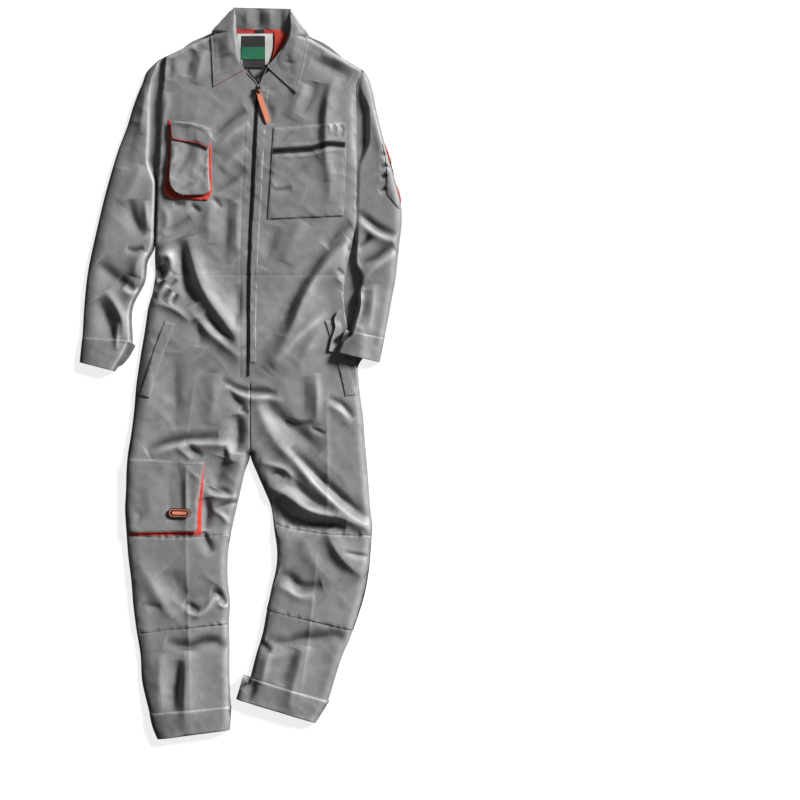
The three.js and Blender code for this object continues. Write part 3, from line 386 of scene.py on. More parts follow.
BODY_FOLDS = [
    ("waist hollow right", [(-140, 298), (-129, 272), (-124, 237), (-116, 197), (-94, 155)], (13, 9), (8, 12), -11),
    ("waist fold right", [(-116, 302), (-105, 254), (-91, 208), (-69, 166), (-43, 129), (-19, 96), (6, 58)], (22, 16), (8, 9), 11),
    ("low waist fold right", [(-116, 148), (-78, 102), (-36, 65), (6, 30)], 12, 9, 6),
    ("hollow between the waist folds", [(-78, 135), (-50, 100), (-14, 67)], 8, 8, -5),
    ("hip fold right", [(-195, 155), (-166, 151), (-138, 138), (-107, 113)], 9, 7, 5),
    ("dent beside the hip fold", [(-96, 122), (-89, 89), (-91, 61)], 10, 10, -4),
    ("dent beside the placket", [(-8, 197), (-3, 151), (-10, 100)], 8, 9, -4),
    ("pouch at the waist", [(-186, 245), (-177, 256), (-162, 261), (-151, 248), (-151, 223)], 7, 7, 7),
    ("hole under the pouch", [(-182, 237), (-177, 223), (-173, 206)], 5, 5, -9),
    ("upper chest hollow right", [(12, 580), (-10, 566), (-36, 544), (-61, 518)], 8, 9, -5),
    ("upper chest swell right", [(21, 549), (-6, 534), (-32, 512), (-54, 487)], 12, 10, 4),
    ("lower chest hollow right", [(14, 448), (-10, 432), (-38, 410), (-65, 397)], 9, 10, -4.5),
    ("lower chest swell right", [(16, 496), (-10, 476), (-41, 448)], 13, 12, 3.5),
    ("belly hollow right", [(-28, 386), (-28, 333), (-30, 285), (-34, 237)], 9, 10, -4),
    ("belly swell right", [(-63, 382), (-69, 333), (-67, 285)], 16, 14, 3.5),
    ("belly ridge right", [(-6, 382), (-6, 327), (-6, 261)], 8, 8, 2.5),
    ("ribs hollow right", [(-168, 311), (-142, 324), (-111, 346)], 9, 9, -3.5),
    ("crease under the pocket", [(-146, 375), (-133, 373), (-120, 375)], 4, 4, -3),
    ("crease under the pocket", [(-109, 375), (-100, 366), (-87, 355)], 4, 4, -3),
    ("fan from the pocket corner", [(-63, 391), (-50, 377), (-41, 364)], 4, 4, -2.4),
    ("shoulder hollow right", [(-102, 712), (-111, 685), (-118, 654)], 8, 10, -4.5),
    ("shoulder swell right", [(-78, 712), (-89, 676), (-98, 637)], 13, 10, 4),
    ("outer shoulder hollow", [(-151, 694), (-153, 672), (-155, 646)], 7, 7, -3),
    ("chest edge swell right", [(-160, 619), (-164, 584), (-170, 549)], 9, 7, 3),
    ("side swell right", [(-170, 371), (-160, 342), (-164, 302)], 9, 9, 3),
    ("waist fold left", [(243, 294), (206, 258), (173, 217), (146, 175), (127, 131), (109, 87), (87, 47), (56, 8)], (20, 18), (9, 12), 13),
    ("waist hollow left", [(232, 298), (190, 267), (155, 221), (124, 173), (107, 129), (94, 85)], (8, 9), (11, 12), -8),
    ("low waist fold left", [(232, 162), (188, 127), (144, 94), (107, 54), (69, 16)], 14, 10, 7),
    ("under the low waist fold", [(215, 113), (175, 87), (146, 47), (127, -1)], 14, 12, 3.5),
    ("flank hollow left", [(245, 329), (215, 309), (188, 280)], 9, 11, -5),
    ("belly swell left", [(144, 333), (122, 294), (96, 245)], 20, 18, 4),
    ("belly hollow left", [(82, 324), (69, 280), (52, 232)], 12, 13, -3.5),
    ("chest fold left", [(210, 654), (195, 606), (189, 558), (189, 492), (193, 421)], (20, 14), (7, 10), 6),
    ("shade beside the chest fold", [(186, 637), (177, 593), (173, 544), (170, 492)], 9, 16, -4),
    ("collar fold left", [(144, 637), (129, 602), (109, 562)], 18, 14, 4.5),
    ("collar hollow left", [(166, 641), (157, 606), (138, 566)], 9, 9, -4),
    ("shoulder hollow left", [(157, 690), (197, 674), (241, 650)], 10, 12, -4.5),
    ("shoulder swell left", [(179, 703), (215, 690), (250, 668)], 9, 9, 3),
    ("pocket crease", [(69, 404), (91, 405), (113, 410)], 4, 5, -3),
    ("pocket slant", [(170, 479), (144, 457), (113, 435), (78, 413)], 13, 12, -4.5),
    ("pocket swell", [(197, 470), (199, 426), (197, 373)], 14, 10, 3),
    ("yoke hollow", [(47, 602), (65, 580), (69, 549)], 8, 8, -3),
    ("crease under the zip", [(-41, -10), (-19, -25), (6, -35), (47, -38), (82, -43)], 5, 5, -5),
    ("lip of that crease", [(-36, -25), (-8, -43), (25, -52), (61, -54), (96, -61)], 6, 9, 4),
    ("hip swell right", [(-195, 47), (-199, -14), (-206, -102)], 16, 16, 3.5),
    ("hip hollow right", [(-142, 47), (-144, -23), (-138, -120)], 14, 15, -5),
    ("thigh swell right", [(-58, 3), (-58, -54), (-67, -111)], 18, 16, 4.5),
    ("groin crease right", [(-28, -32), (-8, -58), (12, -80)], 6, 7, -4.5),
    ("notch at the seat seam", [(-1, -78), (8, -82), (19, -87)], 4, 4, -3),
    ("fork hollow right", [(-8, -89), (-3, -129), (-6, -175)], 7, 8, -10),
    ("crease over the thigh pocket", [(-208, -170), (-177, -154), (-133, -144), (-91, -140), (-47, -138)], 7, 6, -9),
    ("lip under that crease", [(-195, -179), (-164, -166), (-120, -155), (-76, -154), (-43, -157), (-25, -173), (-21, -197)], 9, 8, 7.5),
    ("slant above the pocket", [(-122, -148), (-105, -166), (-82, -184)], 5, 6, -3.5),
    ("short fold above the pocket", [(-140, -162), (-122, -175), (-105, -190)], 6, 6, 2.5),
    ("dark spot by the inner seam", [(-36, -157), (-33, -173), (-32, -190)], 4, 5, -4),
    ("hollow beside the thigh pocket", [(-32, -186), (-43, -217), (-58, -250)], 16, 15, -9),
    ("inner leg crease right", [(-80, -237), (-61, -254), (-36, -258), (-16, -270)], 5, 5, -5),
    ("lip of the inner leg crease", [(-76, -261), (-50, -270), (-6, -272)], 6, 6, 4.5),
    ("inner leg crease upper", [(-1, -280), (-28, -285), (-58, -294)], 3.5, 4, -4),
    ("inner leg fan", [(-61, -300), (-41, -311), (-23, -331)], 5, 6, 4),
    ("inner leg hollow", [(-76, -272), (-72, -305), (-76, -344)], 6, 7, -8),
    ("corner under the pocket", [(-82, -346), (-72, -371), (-61, -395)], 6, 8, -6),
    ("bright fork swell", [(36, -50), (52, -102), (80, -151), (113, -186)], 16, 12, 5),
    ("fork valley left", [(56, -54), (74, -82), (105, -111), (144, -142), (179, -175)], (9, 16), (9, 16), -8),
    ("fork crease left", [(96, -105), (127, -112), (160, -105)], 6, 6, -3),
    ("short hip cut left", [(155, -118), (168, -124), (188, -133)], 3, 3, -3),
    ("hip ridge left", [(168, 3), (170, -50), (168, -111)], 10, 8, 4.5),
    ("hip hollow left", [(140, -6), (142, -54), (140, -98)], 12, 12, -4),
    ("hip crease left", [(193, -50), (223, -67), (250, -98)], 5, 6, -4),
    ("hip lip left", [(188, -63), (219, -82), (245, -111)], 9, 8, 3.5),
    ("thigh valley left", [(109, -162), (140, -193), (175, -230), (219, -270), (258, -300), (287, -322)], (8, 8), (8, 8), -7),
    ("thigh fold left", [(82, -155), (109, -182), (140, -217), (175, -256), (215, -292), (254, -320), (292, -340)], (10, 7), (12, 8), 7),
    ("under the thigh fold", [(109, -226), (142, -265), (179, -292), (215, -307)], 8, 9, -5),
    ("inner thigh curl", [(43, -195), (72, -201), (98, -210), (113, -226), (109, -245)], 7, 7, 4.5),
    ("inside the curl", [(61, -221), (82, -219), (98, -230)], 6, 6, -3),
    ("knee fold left", [(52, -248), (82, -256), (113, -274), (144, -296), (179, -307), (219, -316), (254, -329), (289, -344)], (9, 7), (7, 6), 12),
    ("knee hollow left", [(74, -274), (89, -300), (109, -320), (148, -331), (193, -333), (232, -338)], (12, 6), (14, 7), -13),
    ("knee panel slope", [(190, -342), (208, -380), (232, -413), (272, -446)], 32, (9, 7), 9),
    ("knee panel swell", [(140, -362), (153, -397), (179, -435), (210, -461)], 14, 18, 3.5),
    ("short knee cut left", [(228, -391), (256, -397), (285, -402)], 3, 4, -3.5),
    ("inner knee hollow left", [(85, -437), (109, -448), (129, -465), (153, -468), (179, -461)], 8, 9, -8),
    ("inner knee lip left", [(82, -463), (105, -476), (131, -490), (162, -485)], 7, 9, 4),
    ("knee swell right", [(-226, -410), (-199, -454), (-173, -498), (-146, -538)], 16, 14, 4.5),
    ("knee hollow right", [(-170, -432), (-142, -463), (-116, -494), (-80, -485), (-58, -459)], 20, 18, -6),
    ("outer knee dent", [(-221, -505), (-199, -509), (-173, -514)], 6, 6, -2.5),
    ("knee wedge right", [(-122, -503), (-107, -512), (-89, -522)], 4, 5, -5.5),
    ("knee crest right", [(-120, -522), (-94, -531), (-74, -518), (-61, -498), (-47, -494)], 5, 5, 4.5),
    ("knee hook right", [(-65, -479), (-47, -484), (-30, -507)], 4, 5, -6),
    ("inner knee lip right", [(-50, -503), (-36, -512), (-21, -507)], 4, 4, 3.5),
    ("shin crease right", [(-164, -586), (-138, -595), (-111, -597), (-85, -588), (-58, -588), (-28, -604)], 8, 7, -8),
    ("shin ridge right", [(-119, -608), (-118, -661), (-120, -718), (-118, -795)], (24, 26), (10, 13), 8),
    ("shin hollow right", [(-135, -630), (-138, -670), (-146, -745)], (6, 8), (8, 16), -6),
    ("outer shin swell right", [(-173, -613), (-177, -670), (-170, -745)], 14, 13, 5),
    ("shin crease left", [(56, -584), (94, -591), (131, -582), (170, -579), (206, -575), (234, -586)], 9, 8, -10),
    ("shin ridge left", [(142, -597), (131, -644), (116, -696), (109, -745)], (24, 22), 12, 7),
    ("shin slope left", [(122, -604), (107, -644), (89, -683)], 12, 14, -5),
    ("inner shin swell left", [(65, -613), (56, -648), (47, -683)], 9, 9, 4),
    ("turn-up tuck left", [(32, -670), (28, -696), (16, -727)], 6, 8, -6),
    ("inner shin curl left", [(43, -588), (56, -600), (69, -610)], 4, 5, -5.5),
]
# Two lines were pressed down the legs when the suit was first folded
PRESSED_LINES = [
    ("right leg", [(-120, -201), (-118, -410), (-113, -586), (-107, -795)], 5, 5, 1.6),
    ("left leg", [(190, -41), (193, -212), (190, -355)], 5, 5, 1.6),
    ("left shin", [(170, -377), (160, -498), (144, -630), (129, -729)], 5, 5, 1.6),
    ("right hip", [(-98, 3), (-109, -80), (-118, -146)], 5, 5, 1.0),
]


def near(x, y, line):
    """Distance to a line, how far along it the nearest place is, and on which side of it."""
    nearest = np.full(x.shape, np.inf)
    along = np.zeros(x.shape)
    side = np.zeros(x.shape)
    done = 0.0
    for start, end in zip(line[:-1], line[1:]):
        run = end - start
        length = float(np.hypot(*run))
        place = np.clip(((x - start[0]) * run[0] + (y - start[1]) * run[1]) / length**2, 0, 1)
        off_x = x - start[0] - run[0] * place
        off_y = y - start[1] - run[1] * place
        distance = np.hypot(off_x, off_y)
        closer = distance < nearest
        nearest = np.where(closer, distance, nearest)
        along = np.where(closer, done + length * place, along)
        side = np.where(closer, run[0] * off_y - run[1] * off_x, side)
        done += length
    return nearest, along, side


def around(x, y, line, reach):
    low, high = line.min(axis=0) - reach, line.max(axis=0) + reach
    return (x > low[0]) & (x < high[0]) & (y > low[1]) & (y < high[1])


def folds_on(x, y, folds, crest=1.7):
    """The height of all folds together, each soft in section and fading out at its ends."""
    total = np.zeros(x.shape)
    for _, path, lit, shaded, height in folds:
        line = smooth_line(path, 4)
        here = around(x, y, line, 2.6 * math.hypot(max(np.max(lit), 1.6 * np.max(shaded)), 1.1 * height))
        if not here.any():
            continue
        distance, along, side = near(x[here], y[here], line)
        share = along / line_length(line)
        lit_width = np.interp(share, (0, 1), np.broadcast_to(lit, 2))
        shaded_width = np.interp(share, (0, 1), np.broadcast_to(shaded, 2))
        far_wall = 1.6 * shaded_width if height < 0 else shaded_width
        width = np.hypot(np.where(side > 0, lit_width, far_wall), 1.1 * height)
        fade = np.sin(np.pi * np.clip(share, 0, 1)) ** 0.6
        total[here] += height * fade * np.exp(-((distance / width) ** crest))
    return total


def soft_noise(x, y, size, seed):
    """Smooth unevenness from -1 to 1, with swells about as wide as the size."""
    table = np.random.default_rng(seed).uniform(-1, 1, (64, 64))
    u, v = x / size + 640, y / size + 640
    i, j = np.floor(u).astype(int), np.floor(v).astype(int)
    a, b = u - i, v - j
    a, b = a * a * (3 - 2 * a), b * b * (3 - 2 * b)
    i, j = i % 64, j % 64
    k, m = (i + 1) % 64, (j + 1) % 64
    near_row = table[i, j] * (1 - a) + table[k, j] * a
    far_row = table[i, m] * (1 - a) + table[k, m] * a
    return near_row * (1 - b) + far_row * b


def wave_along(along, pitch, seed):
    return soft_noise(along, np.zeros(along.shape), pitch, seed)


def seams_on(x, y, seams):
    """A seam sinks in a narrow groove, and its thread draws the cloth up in small puckers."""
    total = np.zeros(x.shape)
    for number, (_, path, groove, pucker, pitch, reach) in enumerate(seams):
        line = smooth_line(path, 3)
        here = around(x, y, line, 3 * reach)
        if not here.any():
            continue
        distance, along, _ = near(x[here], y[here], line)
        wave = wave_along(along + 0.35 * distance, pitch, 50 + number)
        fade = np.exp(-((distance / reach) ** 2))
        total[here] += pucker * wave * fade - groove * np.exp(-((distance / 1.6) ** 2))
    return total


def rumples(x, y, seed):
    """Broad soft swells, slanting creases between them, and a fine unevenness."""
    broad = 3.4 * soft_noise(x, y, 92, seed)
    bent_x, bent_y = x + 14 * soft_noise(x, y, 60, seed + 5), y + 14 * soft_noise(x, y, 60, seed + 6)
    falling = soft_noise((bent_x + 0.8 * bent_y) / 2.4, bent_y - 0.8 * bent_x, 44, seed + 1)
    rising = soft_noise((bent_x - 0.9 * bent_y) / 2.2, bent_y + 0.9 * bent_x, 38, seed + 2)
    creased = 1.4 * (0.45 - np.sqrt(falling**2 + 0.02)) + 1.0 * (0.45 - np.sqrt(rising**2 + 0.02))
    fine = 0.3 * soft_noise(x - 0.5 * y, y + 0.5 * x, 15, seed + 3)
    return broad + creased + fine


def roll(distance, radius):
    """A rounded edge, 0 at the edge itself and 1 where the cloth lies at full height."""
    left = 1 - np.clip(distance / radius, 0, 1)
    return np.sqrt(1 - left * left)


def ease(value, low, high):
    share = np.clip((value - low) / (high - low), 0, 1)
    return share * share * (3 - 2 * share)


def side_of(table, side, start=0, end=None):
    return smooth_line([row[side] for row in table[start:end]], 4)


TURN_UP_RIGHT = [
    ((-201, -748), (-21, -731)),
    ((-194, -778), (-22, -758)),
    ((-183, -805), (-24, -784)),
]
TURN_UP_LEFT = [
    ((6, -664), (195, -721)),
    ((-2, -691), (180, -746)),
    ((-10, -716), (165, -769)),
]
WAIST_ROW = 11
FORK_ROW = 8
right_side = np.vstack([side_of(FRONT_RIGHT, 0, 10), side_of(LEG_RIGHT, 0, 1), side_of(TURN_UP_RIGHT, 0, 1)])
left_side = np.vstack([side_of(FRONT_LEFT, 1, 10), side_of(LEG_LEFT, 1, 1), side_of(TURN_UP_LEFT, 1, 1)])
right_inner = np.vstack([side_of(LEG_RIGHT, 1, FORK_ROW), side_of(TURN_UP_RIGHT, 1, 1)])
left_inner = np.vstack([side_of(LEG_LEFT, 0, FORK_ROW), side_of(TURN_UP_LEFT, 0, 1)])
right_armhole = side_of(FRONT_RIGHT, 0, 0, 11)
left_armhole = side_of(FRONT_LEFT, 1, 0, 11)
shoulders = [np.array([(-164, 700), (-63, 747)], float), np.array([(153, 739), (267, 670)], float)]
BODY_SEAMS = [
    ("armhole right", right_armhole[::4], 1.0, 1.0, 11, 7),
    ("armhole left", left_armhole[::4], 0.6, 0.9, 10, 7),
    ("waist right", [(-188, 217), (-89, 217), (21, 217)], 0.5, 0.35, 9, 6),
    ("waist left", [(21, 217), (131, 217), (230, 217)], 0.5, 0.35, 9, 6),
    ("fork seam", [(21, -23), (21, -102), (21, -182)], 1.6, 0.7, 13, 9),
    ("closing, right stitch line", [(12, 562), (6, 382), (1, 206), (1, -6)], 0.5, 0.5, 12, 6),
    ("knee top right", [(-252, -355), (-177, -360), (-89, -358), (-19, -351)], 1.2, 1.1, 8, 7),
    ("knee bottom right", [(-226, -571), (-177, -564), (-120, -559), (-25, -550)], 1.0, 0.9, 9, 6),
    ("knee top left", [(74, -331), (109, -340), (142, -346), (197, -353), (289, -356)], 1.4, 1.7, 9, 8),
    ("knee bottom left", [(50, -518), (109, -531), (163, -545), (248, -565)], 1.0, 1.0, 8, 6),
]


def valley_right(y):
    """How deep the armhole seam lies, from 0 at the height of the cloth to 1 on the surface."""
    return 0.25 + 0.75 * (1 - ease(y, 610, 680))


def valley_left(y):
    """The same on the wearer's left, where the seam is deep at the chest and shallow below it."""
    deep = ease(y, 440, 520) * (1 - ease(y, 570, 650)) + 1 - ease(y, 270, 330)
    return 0.25 + 0.75 * np.clip(deep, 0, 1)


# The left sleeve lies over the hip and presses it down
PRESSED_HIP = 6.0


def body_top(x, y):
    """Height of the front of the suit over the surface that it lies on."""
    shape = roll(near(x, y, right_side)[0], SHADED_ROLL) * roll(near(x, y, left_side)[0], LIT_ROLL)
    shape *= roll(near(x, y, right_inner)[0], LIT_ROLL) * roll(near(x, y, left_inner)[0], SHADED_ROLL)
    for seam in shoulders:
        shape *= roll(near(x, y, seam)[0], SHOULDER_ROLL)
    shape *= 1 - valley_right(y) * (1 - roll(near(x, y, right_armhole)[0], 5.5))
    shape *= 1 - valley_left(y) * (1 - roll(near(x, y, left_armhole)[0], ARMHOLE_ROLL))
    relief = 1.15 * folds_on(x, y, BODY_FOLDS) + folds_on(x, y, PRESSED_LINES, 1.1) + rumples(x, y, 1)
    relief += seams_on(x, y, BODY_SEAMS) + gathers_on(x, y)
    rise = np.maximum(LOFT * shape + relief * np.clip(1.4 * shape, 0, 1), 0)
    beside = ease(x, 150, 205) * ease(y, -75, 15) * (1 - ease(y, 175, 240))
    return LAYER + CLOTH + rise + (np.minimum(rise, PRESSED_HIP) - rise) * beside


# Elastic in the back of the waist draws both sides up in short slanting gathers
GATHER_LINES = [
    [(-188, 184), (-170, 204)], [(-186, 168), (-162, 195)], [(-175, 162), (-153, 186)],
    [(-162, 157), (-146, 179)], [(-151, 153), (-138, 175)], [(-170, 206), (-151, 223)],
    [(-157, 190), (-140, 208)], [(-190, 197), (-177, 210)],
    [(232, 215), (212, 232)], [(230, 197), (210, 212)], [(226, 179), (206, 195)],
    [(221, 164), (199, 177)], [(212, 155), (193, 166)],
]


def gathers_on(x, y):
    rows = [("gather", line, 2.2, 1.8, 4.6 if i % 2 else -4.2) for i, line in enumerate(GATHER_LINES)]
    return folds_on(x, y, rows)


def softened(z, reach):
    """The same heights with every fold narrower than twice the reach smoothed away."""
    for axis in (0, 1):
        ends = [(reach, reach) if axis == k else (0, 0) for k in (0, 1)]
        sums = np.cumsum(np.pad(z, ends, mode="edge"), axis=axis)
        wide = 2 * reach
        far, close = (sums[wide:], sums[:-wide]) if axis == 0 else (sums[:, wide:], sums[:, :-wide])
        z = (far - close) / wide
    return z


def painted_shading(z):
    """Painted highlight on sharp ridges and painted shade in sharp creases, from the cloth's bend, with broader painted
    light and shade from its height above or below its smoothed form.
    """
    bend = 4 * z[1:-1, 1:-1] - z[:-2, 1:-1] - z[2:, 1:-1] - z[1:-1, :-2] - z[1:-1, 2:]
    tone = np.zeros(z.shape)
    tone[1:-1, 1:-1] = np.clip(0.16 * bend, -0.22, 0.22)
    return tone + np.clip(0.075 * (z - softened(z, 6)), -0.34, 0.26)


# Painted shade: the turned side edges that face away from the lamp are darkened in the cloth's colour
EDGE_SHADE = 0.3
PANEL_SPACING = 3.1


def front_panel(name, table):
    x, y = plan(rows_of(table), PANEL_SPACING)
    z = body_top(x, y)
    turned = np.minimum(near(x, y, right_side)[0], near(x, y, left_inner)[0])
    # Painted light and shade from the folds, less painted shade along the edges away from the lamp
    tone = painted_shading(z) - EDGE_SHADE * (1 - ease(turned, 0, SHADED_ROLL))
    return cloth(name, x, y, z, grey_twill, [name], tone=tone)


front_panel("front_bodice_right", FRONT_RIGHT)
front_panel("front_bodice_left", FRONT_LEFT)
front_panel("leg_front_right", LEG_RIGHT)
front_panel("leg_front_left", LEG_LEFT)

# Sleeves: a top cut and an under cut each, set into the armholes
# The right one lies beside the body, the left one crosses the hip, so that its ground
# rises there. Both are creased at the elbow and above the cuff.
SLEEVE_LOFT = 11.5
SLEEVE_RIGHT = [
    ((-182, 690), (-164, 700)),
    ((-206, 666), (-168, 672)),
    ((-217, 639), (-170, 646)),
    ((-228, 613), (-174, 617)),
    ((-239, 582), (-176, 586)),
    ((-251, 542), (-177, 547)),
    ((-270, 492), (-179, 492)),
    ((-287, 437), (-182, 437)),
    ((-302, 382), (-184, 382)),
    ((-315, 327), (-186, 327)),
    ((-329, 265), (-190, 278)),
    ((-337, 223), (-205, 245)),
    ((-342, 182), (-211, 201)),
    ((-346, 133), (-238, 144)),
    ((-349, 80), (-238, 73)),
    ((-350, 72), (-244, 63)),
]
SLEEVE_LEFT = [
    ((267, 670), (275, 662)),
    ((265, 654), (283, 648)),
    ((258, 637), (288, 632)),
    ((255, 617), (293, 613)),
    ((255, 586), (298, 586)),
    ((256, 547), (307, 547)),
    ((256, 492), (322, 490)),
    ((256, 437), (338, 435)),
    ((255, 382), (352, 380)),
    ((254, 333), (355, 336)),
    ((251, 287), (350, 287)),
    ((250, 241), (345, 241)),
    ((263, 212), (341, 206)),
    ((257, 179), (334, 170)),
    ((257, 148), (327, 131)),
    ((243, 96), (317, 78)),
    ((239, 86), (316, 69)),
]
CUFF_RIGHT = [
    ((-349, 80), (-238, 73)),
    ((-352, 53), (-256, 38)),
    ((-355, 25), (-277, 5)),
]
CUFF_LEFT = [
    ((232, 96), (317, 78)),
    ((222, 72), (312, 52)),
    ((211, 47), (306, 25)),
]
SLEEVE_FOLDS = [
    ("upper arm strip right", [(-206, 637), (-212, 588), (-219, 527)], 9, 9, 3.5),
    ("upper arm hollow right", [(-228, 553), (-241, 505), (-256, 452)], 12, 14, -4),
    ("arm swell right", [(-217, 459), (-234, 413), (-261, 373)], 16, 16, 4),
    ("arm crease right", [(-243, 384), (-237, 351), (-223, 322), (-210, 302)], 9, 9, -6.5),
    ("swell beside the arm crease", [(-208, 382), (-206, 351), (-201, 316)], 7, 7, 4),
    ("short elbow crease right", [(-250, 276), (-234, 272), (-212, 276)], 4, 4, -4.5),
    ("elbow bulge right", [(-208, 267), (-223, 245), (-234, 215)], 10, 12, 7),
    ("elbow hollow right", [(-314, 245), (-287, 221), (-252, 195)], 12, 13, -7),
    ("elbow crease right", [(-265, 212), (-245, 195), (-230, 188), (-210, 206)], 6, 7, -6),
    ("elbow lip right", [(-261, 190), (-241, 177), (-221, 182)], 7, 7, 5),
    ("forearm hollow right", [(-316, 166), (-296, 131), (-278, 78)], 12, 13, -7),
    ("forearm fold right", [(-296, 184), (-272, 148), (-258, 113), (-261, 69)], 11, 8, 6.5),
    ("cuff pleat right", [(-270, 113), (-271, 87), (-272, 52)], 4, 3, 4.5),
    ("elbow crease left", [(256, 360), (276, 342), (302, 322), (342, 305)], 6, 7, -6),
    ("elbow lip left", [(258, 340), (280, 320), (307, 302), (342, 289)], 7, 8, 5),
    ("short elbow crease left", [(287, 305), (274, 289), (256, 276)], 5, 5, -5),
    ("forearm wedge left", [(338, 285), (316, 272), (294, 256), (256, 239)], 7, 8, -7),
    ("forearm fold left", [(342, 267), (316, 248), (287, 226), (265, 199)], 9, 10, 6),
    ("forearm hollow left", [(274, 184), (272, 148), (261, 105)], 8, 8, -6),
    ("lower arm fold left", [(294, 197), (292, 151), (283, 87)], 10, 9, 5.5),
    ("upper arm swell left", [(298, 580), (311, 514), (324, 435)], 10, 12, 4),
    ("pocket pucker", [(307, 487), (316, 481), (322, 479)], 3, 3, -3),
    ("pocket pucker", [(307, 454), (316, 457), (322, 461)], 3, 3, -3),
    ("pocket pucker", [(307, 432), (316, 435), (322, 439)], 3, 3, -3),
    ("pocket pucker", [(305, 402), (314, 406), (322, 410)], 3, 3, -3),
]


def over_hip(x, y):
    """1 where the left sleeve rests on the hip, 0 where it lies on the surface."""
    return (1 - ease(x, 262, 300)) * (1 - ease(y, 158, 200))


HIP_CLEARANCE = 12.1


def flat_ground(x, y):
    return np.zeros(x.shape)


def left_ground(x, y):
    return HIP_CLEARANCE * over_hip(x, y)


def sleeve_lines(table, cuff):
    return [np.vstack([side_of(table, side), side_of(cuff, side, 1)]) for side in (0, 1)]


def sleeve_top(x, y, lines, edges, ground, seed):
    """Height of a sleeve; the edges say what share of it is reached at a distance from each side."""
    shape = np.ones(x.shape)
    for line, edge in zip(lines, edges):
        shape *= edge(near(x, y, line)[0], y)
    relief = 1.15 * folds_on(x, y, SLEEVE_FOLDS) + 0.7 * rumples(x, y, seed)
    rise = np.maximum(SLEEVE_LOFT * shape + relief * np.clip(1.4 * shape, 0, 1), 0)
    return ground(x, y) + LAYER + CLOTH + rise


def shaded_edge(distance, y):
    return roll(distance, SHADED_ROLL)


def lit_edge(distance, y):
    return roll(distance, LIT_ROLL)


def armhole_edge(distance, y):
    """The right sleeve sinks deep beside the chest, and only narrowly further down."""
    deep = ease(y, 410, 475) * (1 - 0.5 * ease(y, 640, 680))
    return 0.04 + 0.96 * ease(distance, 17 * deep, 9 + 19 * deep)


def hollow_edge(distance, y):
    """The left sleeve has a deep hollow beside the chest pocket, and lies open at the waist."""
    deep = ease(y, 440, 515) * (1 - ease(y, 575, 645))
    loose = 0.75 * np.clip(deep + 1 - ease(y, 270, 330), 0, 1)
    return 1 - (0.2 + loose) * (1 - ease(distance, 16 * deep, 9 + 22 * deep))


right_lines = sleeve_lines(SLEEVE_RIGHT, CUFF_RIGHT)
left_lines = sleeve_lines(SLEEVE_LEFT, CUFF_LEFT)


def right_sleeve_top(x, y):
    return sleeve_top(x, y, right_lines, (shaded_edge, armhole_edge), flat_ground, 11)


def left_sleeve_top(x, y):
    return sleeve_top(x, y, left_lines, (hollow_edge, lit_edge), left_ground, 21)


for side, table, top, ground, grain in (
    ("right", SLEEVE_RIGHT, right_sleeve_top, flat_ground, -0.2),
    ("left", SLEEVE_LEFT, left_sleeve_top, left_ground, 0.1),
):
    x, y = plan(rows_of(table), 6)
    name = f"sleeve_under_{side}"
    cloth(name, x, y, ground(x, y) + CLOTH, grey_twill, [name], grain=grain)
    x, y = plan(rows_of(table), PANEL_SPACING)
    z = top(x, y)
    shade = 0.0
    # Painted shade along the right sleeve's outer edge, away from the lamp
    if side == "right":
        shade = EDGE_SHADE * (1 - ease(near(x, y, right_lines[0])[0], 0, SHADED_ROLL))
    top_name = f"sleeve_top_{side}"
    cloth(top_name, x, y, z, grey_twill, [top_name], grain=grain, tone=painted_shading(z) - shade)


# Cuffs and turned-up hems
# Each is a tube of doubled cloth pressed flat and open at both ends, which stands a
# little proud of the sleeve or leg that runs into it.
def tube_of_cloth(name, table, top, ground, proud, thickness, node, spacing=2.6):
    x, y = plan(rows_of(table), spacing)
    uneven = 0.8 * soft_noise(x, y, 30, len(name)) + 0.3 * soft_noise(x, y, 11, len(name) + 1)
    rows_in = np.minimum(near(x, y, np.stack([x[0], y[0]], -1)[::6])[0], near(x, y, np.stack([x[-1], y[-1]], -1)[::6])[0])
    upper = np.maximum(top(x, y) + uneven, ground(x, y) + 2 * thickness) + proud * (0.55 + 0.45 * roll(rows_in, 5))
    low = ground(x, y)
    width = np.hypot(x[:, -1:] - x[:, :1], y[:, -1:] - y[:, :1])
    share = np.hypot(x - x[:, :1], y - y[:, :1]) / width
    inset = np.clip(share, thickness / width, 1 - thickness / width)
    inner_x = x[:, :1] + (x[:, -1:] - x[:, :1]) * inset
    inner_y = y[:, :1] + (y[:, -1:] - y[:, :1]) * inset
    outer = np.concatenate([np.stack([x, y, upper], -1), np.stack([x, y, low], -1)[:, ::-1]], axis=1)
    inner_top = np.stack([inner_x, inner_y, upper - thickness], -1)
    inner_low = np.stack([inner_x, inner_y, low + thickness], -1)
    inner = np.concatenate([inner_top, inner_low[:, ::-1]], axis=1)
    rows, columns = outer.shape[:2]
    index = np.arange(rows * columns).reshape(rows, columns)
    after = np.roll(index, -1, axis=1)
    outside = np.stack([index[:-1], index[1:], after[1:], after[:-1]], -1).reshape(-1, 4)
    inside = outside[:, ::-1] + rows * columns
    start = np.stack([index[0], after[0], after[0] + rows * columns, index[0] + rows * columns], -1)
    end = np.stack([index[-1], after[-1], after[-1] + rows * columns, index[-1] + rows * columns], -1)[:, ::-1]
    points = np.concatenate([outer.reshape(-1, 3), inner.reshape(-1, 3)])
    faces = np.concatenate([outside, inside, start, end])
    # Painted highlight along the top edge of each tube, and painted shade towards its left end, away from the lamp
    painted_edge_highlight = 0.16 * np.exp(-((near(x, y, np.stack([x[0], y[0]], -1)[::6])[0] / 2.6) ** 2))
    shade = painted_shading(upper) + painted_edge_highlight - 0.32 * (1 - ease(share * width, 4, 60))
    tone = np.zeros((rows, columns))
    tone[:, : shade.shape[1]] = shade
    piece = new_piece(
        name, points, faces, grey_twill, [node],
        tone=np.concatenate([tone.ravel(), np.zeros(tone.size)]), uv=points[:, :2] * MM,
    )
    return piece


